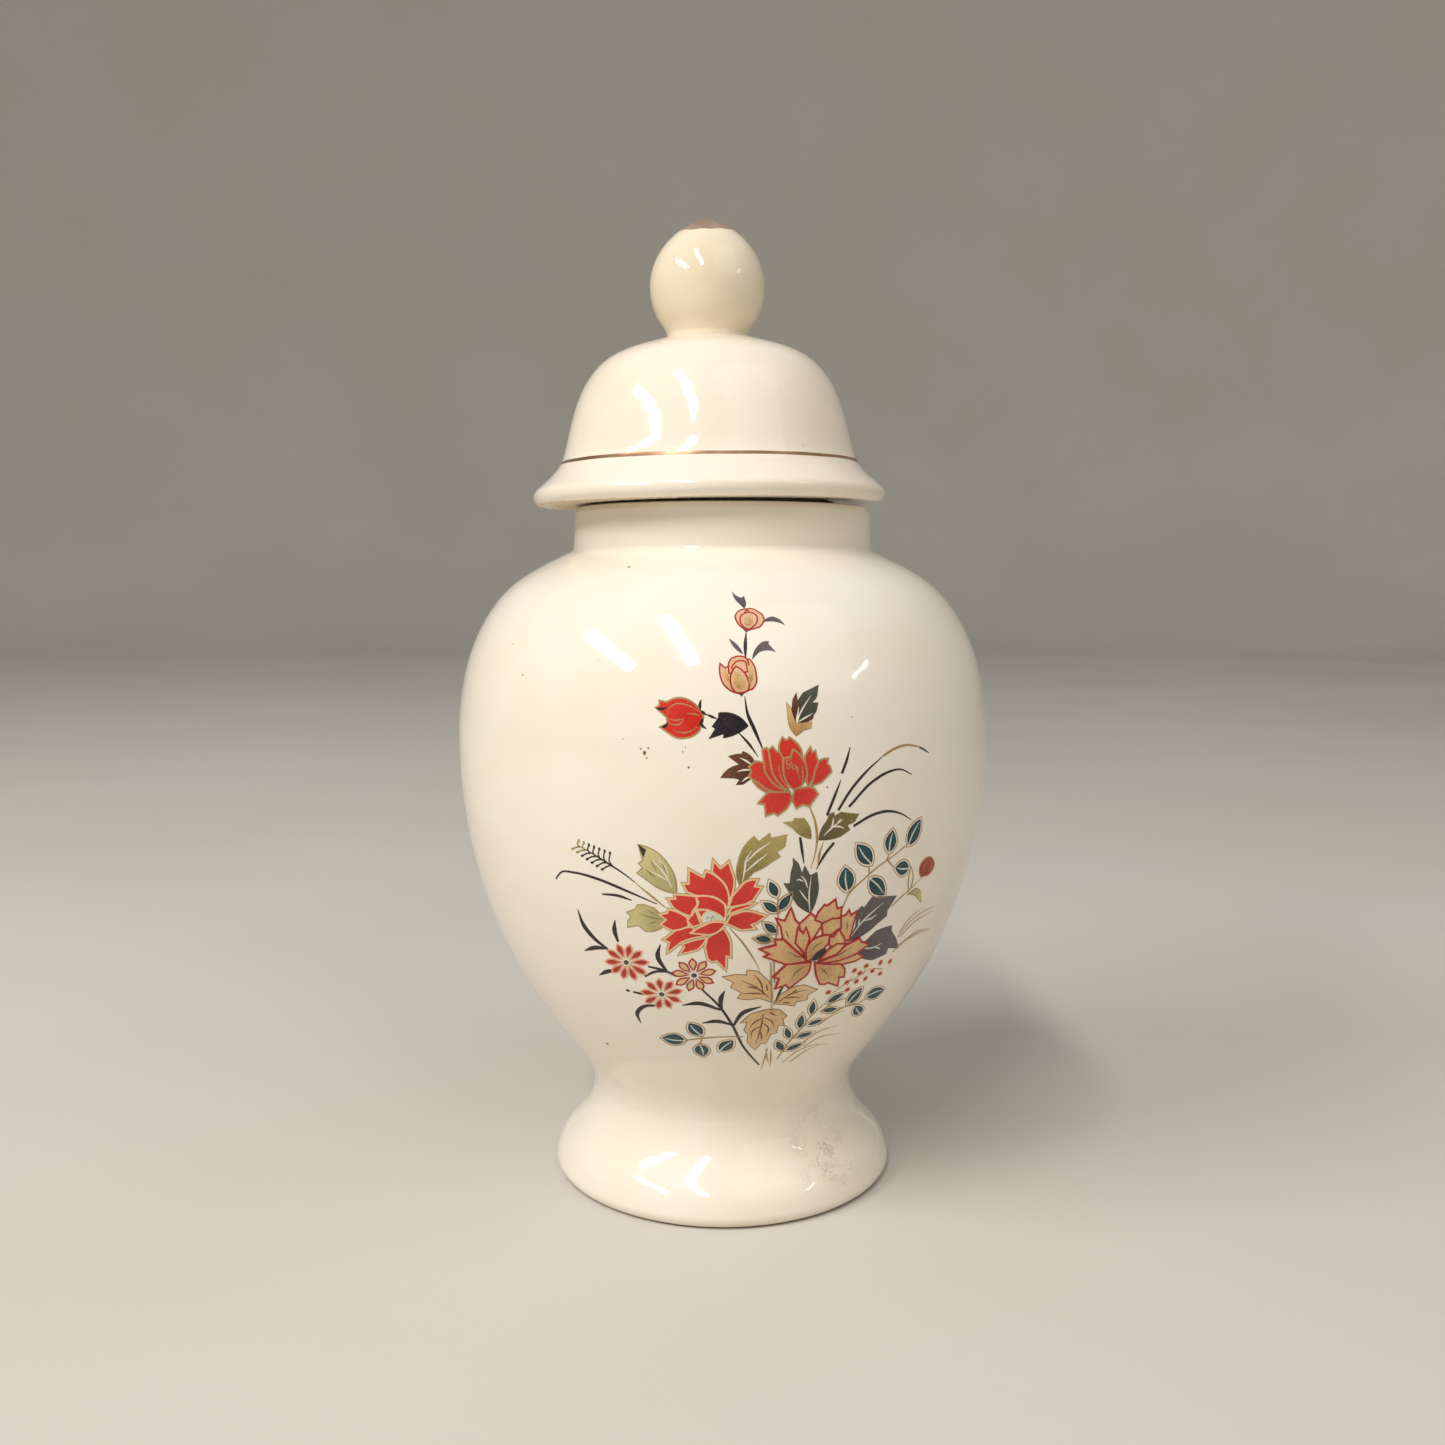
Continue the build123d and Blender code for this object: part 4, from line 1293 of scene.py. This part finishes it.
BARE_RING = 0.7 * MM  # the height of the wiped ring under the foot
BARE_SEAT = 0.4 * MM
BELOW_FLOOR = -10 * MM
SCUFF = (30 * MM, -34 * MM, 18 * MM)
ROSY, ROSY_DEEP = shade(245, 234, 218), shade(242, 229, 209)
# The knob's glaze is a darker, yellower ivory than the jar's.
KNOB_IVORY, KNOB_IVORY_DEEP = shade(239, 226, 203), shade(230, 213, 182)
seat_low = mouth_height + 0.1 * MM
jar_shell.data.materials.append(ivory_glaze("jar_glaze", BELOW_FLOOR, BARE_RING, scuffed=SCUFF))
lid_glaze = ivory_glaze("lid_glaze", seat_low, seat_low + BARE_SEAT, tones=(ROSY, ROSY_DEEP))
lid_shell.data.materials.append(lid_glaze)
knob_glaze = ivory_glaze("knob_glaze", 2 * BELOW_FLOOR, BELOW_FLOOR, tones=(KNOB_IVORY, KNOB_IVORY_DEEP))
knob_ball.data.materials.append(knob_glaze)
print("glazes:", [piece.data.materials[0].name for piece in (jar_shell, lid_shell, knob_ball)])

# %% [markdown]
# ## Group: worn lustre
#
# Gold lustre is only a breath of metal, and handling rubs it away in small ragged patches, so the glaze
# shows through, while the rest tarnishes unevenly. The knob's cap and the line share this.

# %% Worn lustre
worn_lustre, lustre_in, lustre_out = shader_group("worn lustre", {"Wear": 0.4}, ["Worn", "Tarnish"])
tree = worn_lustre
spot = node(tree, "ShaderNodeTexCoord").outputs["Object"]
broad = math_of(tree, "MULTIPLY", noise(tree, 60, 2, spot), 0.6)
rubbed = math_of(tree, "ADD", noise(tree, 420, 4, spot), broad)
edge = math_of(tree, "SUBTRACT", 1.12, math_of(tree, "MULTIPLY", lustre_in.outputs["Wear"], 0.5))
worn = between(tree, math_of(tree, "SUBTRACT", rubbed, edge), 0.0, 0.08)
tree.links.new(worn, lustre_out.inputs["Worn"])
tree.links.new(between(tree, noise(tree, 90, 3, spot), 0.35, 0.7), lustre_out.inputs["Tarnish"])


def gold_lustre(name, wear, bright, dull, metal):
    """Gold lustre with this much wear, from its bright shade to its tarnished one, and how metallic."""
    material, tree, shader = new_material(name)
    lustre = use_group(tree, worn_lustre, {"Wear": wear})
    gold = mixed(tree, lustre.outputs["Tarnish"], bright, dull)
    tree.links.new(mixed(tree, lustre.outputs["Worn"], gold, IVORY_DEEP), shader.inputs["Base Color"])
    tree.links.new(between(tree, lustre.outputs["Worn"], 0, 1, metal, 0.0), shader.inputs["Metallic"])
    tree.links.new(between(tree, lustre.outputs["Tarnish"], 0, 1, 0.2, 0.42), shader.inputs["Roughness"])
    return material


line_lustre = gold_lustre(
    "line_lustre", wear=0.12, bright=shade(200, 158, 122), dull=shade(154, 116, 90), metal=0.85
)
tip_lustre = gold_lustre(
    "tip_lustre", wear=0.2, bright=shade(200, 174, 146), dull=shade(168, 140, 114), metal=0.5
)
gold_line.data.materials.append(line_lustre)
gold_tip.data.materials.append(tip_lustre)
print("lustres:", line_lustre.name, tip_lustre.name)

# %% [markdown]
# ## Group: screen grain
#
# Enamel pushed through a screen lies in a very fine, uneven grain, with tiny holes where the mesh or the
# paper kept it off. Every colour of the spray has it, and each colour deepens a little towards the heart
# of its petal or leaf.

# %% Screen grain
screen_grain, grain_in, grain_out = shader_group(
    "screen grain", {"Scale": 1.0}, ["Grain", "Holes", "Height"]
)
tree = screen_grain
spot = node(tree, "ShaderNodeTexCoord").outputs["Object"]
fine = math_of(tree, "MULTIPLY", grain_in.outputs["Scale"], 1900.0)
coarse = math_of(tree, "MULTIPLY", grain_in.outputs["Scale"], 420.0)
both = math_of(tree, "ADD", noise(tree, fine, 1, spot), noise(tree, coarse, 2, spot))
grain = math_of(tree, "MULTIPLY", both, 0.5)
tree.links.new(between(tree, grain, 0.34, 0.56), grain_out.inputs["Grain"])
tree.links.new(between(tree, noise(tree, fine, 2, spot), 0.73, 0.77), grain_out.inputs["Holes"])
tree.links.new(grain, grain_out.inputs["Height"])


ENAMEL_ROUGH = 0.22
GRAIN_HEIGHT = 0.02 * MM


def enamel(name, heart, edge, grain_depth):
    """A printed colour, from its shade at the heart to its shade at the edge."""
    material, tree, shader = new_material(name)
    screen = use_group(tree, screen_grain)
    tone = node(tree, "ShaderNodeAttribute", attribute_name="tone").outputs["Fac"]
    colour = mixed(tree, between(tree, tone, 0.1, 0.95), shade(*heart), shade(*edge))
    dark = mixed(tree, grain_depth, colour, (0, 0, 0, 1))
    colour = mixed(tree, screen.outputs["Grain"], dark, colour)
    colour = mixed(tree, math_of(tree, "MULTIPLY", screen.outputs["Holes"], 0.3), colour, IVORY)
    tree.links.new(colour, shader.inputs["Base Color"])
    rough = between(tree, screen.outputs["Grain"], 0, 1, ENAMEL_ROUGH, ENAMEL_ROUGH + 0.1)
    tree.links.new(rough, shader.inputs["Roughness"])
    raised = {"Height": screen.outputs["Height"], "Strength": 0.3, "Distance": GRAIN_HEIGHT}
    bump = node(tree, "ShaderNodeBump", raised)
    tree.links.new(bump.outputs["Normal"], shader.inputs["Normal"])
    return material


# %% [markdown]
# ## The spray's colours
#
# One piece for each enamel, named for its colour, and one for the flecks. A row gives the slot, the
# shade at the heart, the shade at the edge, and how dark the screen's grain prints.

# %% Join the skins of each colour
ENAMELS = {
    "scarlet": ("enamel_red", (200, 38, 26), (212, 50, 36), 0.05),
    "crimson": ("enamel_red", (160, 34, 10), (168, 40, 12), 0.06),
    "brick": ("enamel_red", (158, 36, 28), (178, 46, 34), 0.10),
    "rose": ("enamel_pink", (222, 150, 118), (230, 166, 134), 0.08),
    "beige": ("enamel_pink", (214, 170, 130), (228, 182, 146), 0.12),
    "honey": ("enamel_gold", (190, 146, 88), (222, 184, 126), 0.20),
    "sand": ("enamel_gold", (220, 180, 128), (228, 192, 142), 0.12),
    "gilt": ("enamel_gold", (166, 136, 88), (178, 148, 98), 0.15),
    "champagne": ("enamel_gold", (232, 200, 152), (232, 198, 150), 0.06),
    "fawn": ("enamel_brown", (176, 150, 116), (190, 166, 132), 0.15),
    "olive": ("enamel_green", (140, 122, 66), (176, 160, 92), 0.18),
    "moss": ("enamel_green", (96, 84, 50), (128, 112, 62), 0.18),
    "lichen": ("enamel_green", (176, 166, 110), (208, 196, 140), 0.12),
    "pine": ("enamel_green", (66, 68, 54), (82, 84, 68), 0.15),
    "teal": ("enamel_teal", (12, 62, 66), (18, 80, 84), 0.15),
    "ink": ("enamel_mauve", (34, 26, 34), (44, 36, 44), 0.15),
    "slate": ("enamel_mauve", (84, 74, 76), (102, 90, 92), 0.15),
    "plum": ("enamel_mauve", (78, 52, 88), (90, 62, 98), 0.10),
    "umber": ("enamel_brown", (38, 30, 26), (52, 42, 36), 0.15),
    "rust": ("enamel_brown", (78, 42, 30), (112, 66, 42), 0.15),
    "sepia": ("enamel_brown", (112, 70, 38), (124, 80, 44), 0.10),
    "bare": ("cream_glaze", (234, 226, 208), (238, 230, 214), 0.03),
    "frost": ("cream_glaze", (204, 210, 196), (216, 220, 206), 0.04),
    "fleck": ("enamel_brown", (92, 78, 66), (120, 104, 90), 0.20),
}
for colour, (slot, heart, edge, grain_depth) in ENAMELS.items():
    points, faces, tones, first = [], [], [], 0
    for spots, skins, tone in printed.pop(colour):
        points.append(spots)
        tones.append(tone)
        faces += [tuple(v + first for v in skin) for skin in skins]
        first += len(spots)
    mesh = bpy.data.meshes.new("spray_" + colour)
    mesh.from_pydata([tuple(p) for p in np.vstack(points)], [], faces)
    mesh.attributes.new("tone", "FLOAT", "POINT").data.foreach_set("value", np.concatenate(tones))
    mesh.shade_smooth()
    mesh.set_sharp_from_angle(angle=SHARP)
    mesh.validate()
    piece = bpy.data.objects.new("spray_" + colour, mesh)
    bpy.context.scene.collection.objects.link(piece)
    mesh.materials.append(enamel("enamel_" + colour, heart, edge, grain_depth))
    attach(piece, "jar")
    print(piece.name, len(mesh.polygons), "faces")
assert not printed, sorted(printed)

# %% [markdown]
# ## Studio
#
# A plain pale floor runs up into a curved wall, so there is no horizon. Two long tube lamps hang side by
# side at the upper left. The glaze mirrors both as the bright slanted streaks on the knob, dome, shoulder
# and foot, and they give the pot its light side. A thin lamp at the right adds a glint, and a wide dim
# one near the camera fills the front.

# %% Floor and wall
COVE_FLAT, COVE_ROUND, COVE_TOP = 2.6, 0.9, 3.2
COVE_TURNS = 96
turns = np.linspace(0, math.pi / 2, 12)
bend = [(COVE_FLAT + COVE_ROUND * math.sin(a), COVE_ROUND * (1 - math.cos(a))) for a in turns]
cove_line = np.array([(0.0, 0.0), (0.5, 0.0), *bend, (COVE_FLAT + COVE_ROUND, COVE_TOP)])
azimuth = np.linspace(-math.pi, math.pi, COVE_TURNS, endpoint=False)
cove_points = [(r * math.sin(a), -r * math.cos(a), z) for r, z in cove_line for a in azimuth]
cove = mesh_piece("cove", cove_points, ring_faces(len(cove_line), COVE_TURNS), sharp=3)
material, tree, shader = new_material("pale_floor")
cloudy = between(tree, noise(tree, 3, 3), 0.3, 0.7)
floor_colour = mixed(tree, cloudy, shade(208, 202, 191), shade(212, 207, 198))
tree.links.new(floor_colour, shader.inputs["Base Color"])
shader.inputs["Roughness"].default_value = 0.9
cove.data.materials.append(material)
print("cove:", len(cove.data.polygons), "faces")

# %% Lights
LIT_POINT = Vector((0, 0, 0.12))
LAMP_WHITE = (1, 0.98, 0.95)
TUBE_AWAY, FILL_AWAY = 1.8, 2.4
TUBE_WIDE, GLINT_WIDE, FILL_WIDE = 4.4, 1.3, 52  # degrees


def toward(azimuth, elevation):
    """The direction from the jar; azimuth 0 is the camera's side and grows to the right."""
    a, e = math.radians(azimuth), math.radians(elevation)
    return Vector((math.cos(e) * math.sin(a), -math.cos(e) * math.cos(a), math.sin(e)))


def strip_lamp(name, start, end, width, distance, brightness):
    """An area lamp between two directions (azimuth, elevation), as wide as this many degrees."""
    first, last = toward(*start), toward(*end)
    way = (first + last).normalized()
    along = (last - first).normalized()
    across = way.cross(along).normalized()
    data = bpy.data.lights.new(name, "AREA")
    data.shape, data.color = "RECTANGLE", LAMP_WHITE
    data.size = 2 * distance * math.tan(first.angle(last) / 2)
    data.size_y = 2 * distance * math.tan(math.radians(width) / 2)
    data.energy = brightness * math.pi * data.size * data.size_y
    lamp = bpy.data.objects.new(name, data)
    lamp.location = LIT_POINT + way * distance
    lamp.rotation_euler = Matrix((along, way.cross(along), way)).transposed().to_euler()
    bpy.context.scene.collection.objects.link(lamp)
    print(name, round(data.size, 2), "x", round(data.size_y, 2), "m,", round(data.energy, 1), "W")


strip_lamp("left_tube", (-76, 41.5), (-42, 31), TUBE_WIDE, TUBE_AWAY, 33)
strip_lamp("near_tube", (-45, 62), (-13, 36), TUBE_WIDE, TUBE_AWAY, 32)
strip_lamp("right_glint", (59, 22.5), (70, 28), GLINT_WIDE, TUBE_AWAY, 14)
strip_lamp("front_fill", (12, 46), (68, 38), FILL_WIDE, FILL_AWAY, 0.78)

world = bpy.data.worlds.new("studio air")
world.use_nodes = True
background = world.node_tree.nodes["Background"]
background.inputs["Color"].default_value = (0.93, 0.96, 1.0, 1.0)
background.inputs["Strength"].default_value = 0.38
bpy.context.scene.world = world
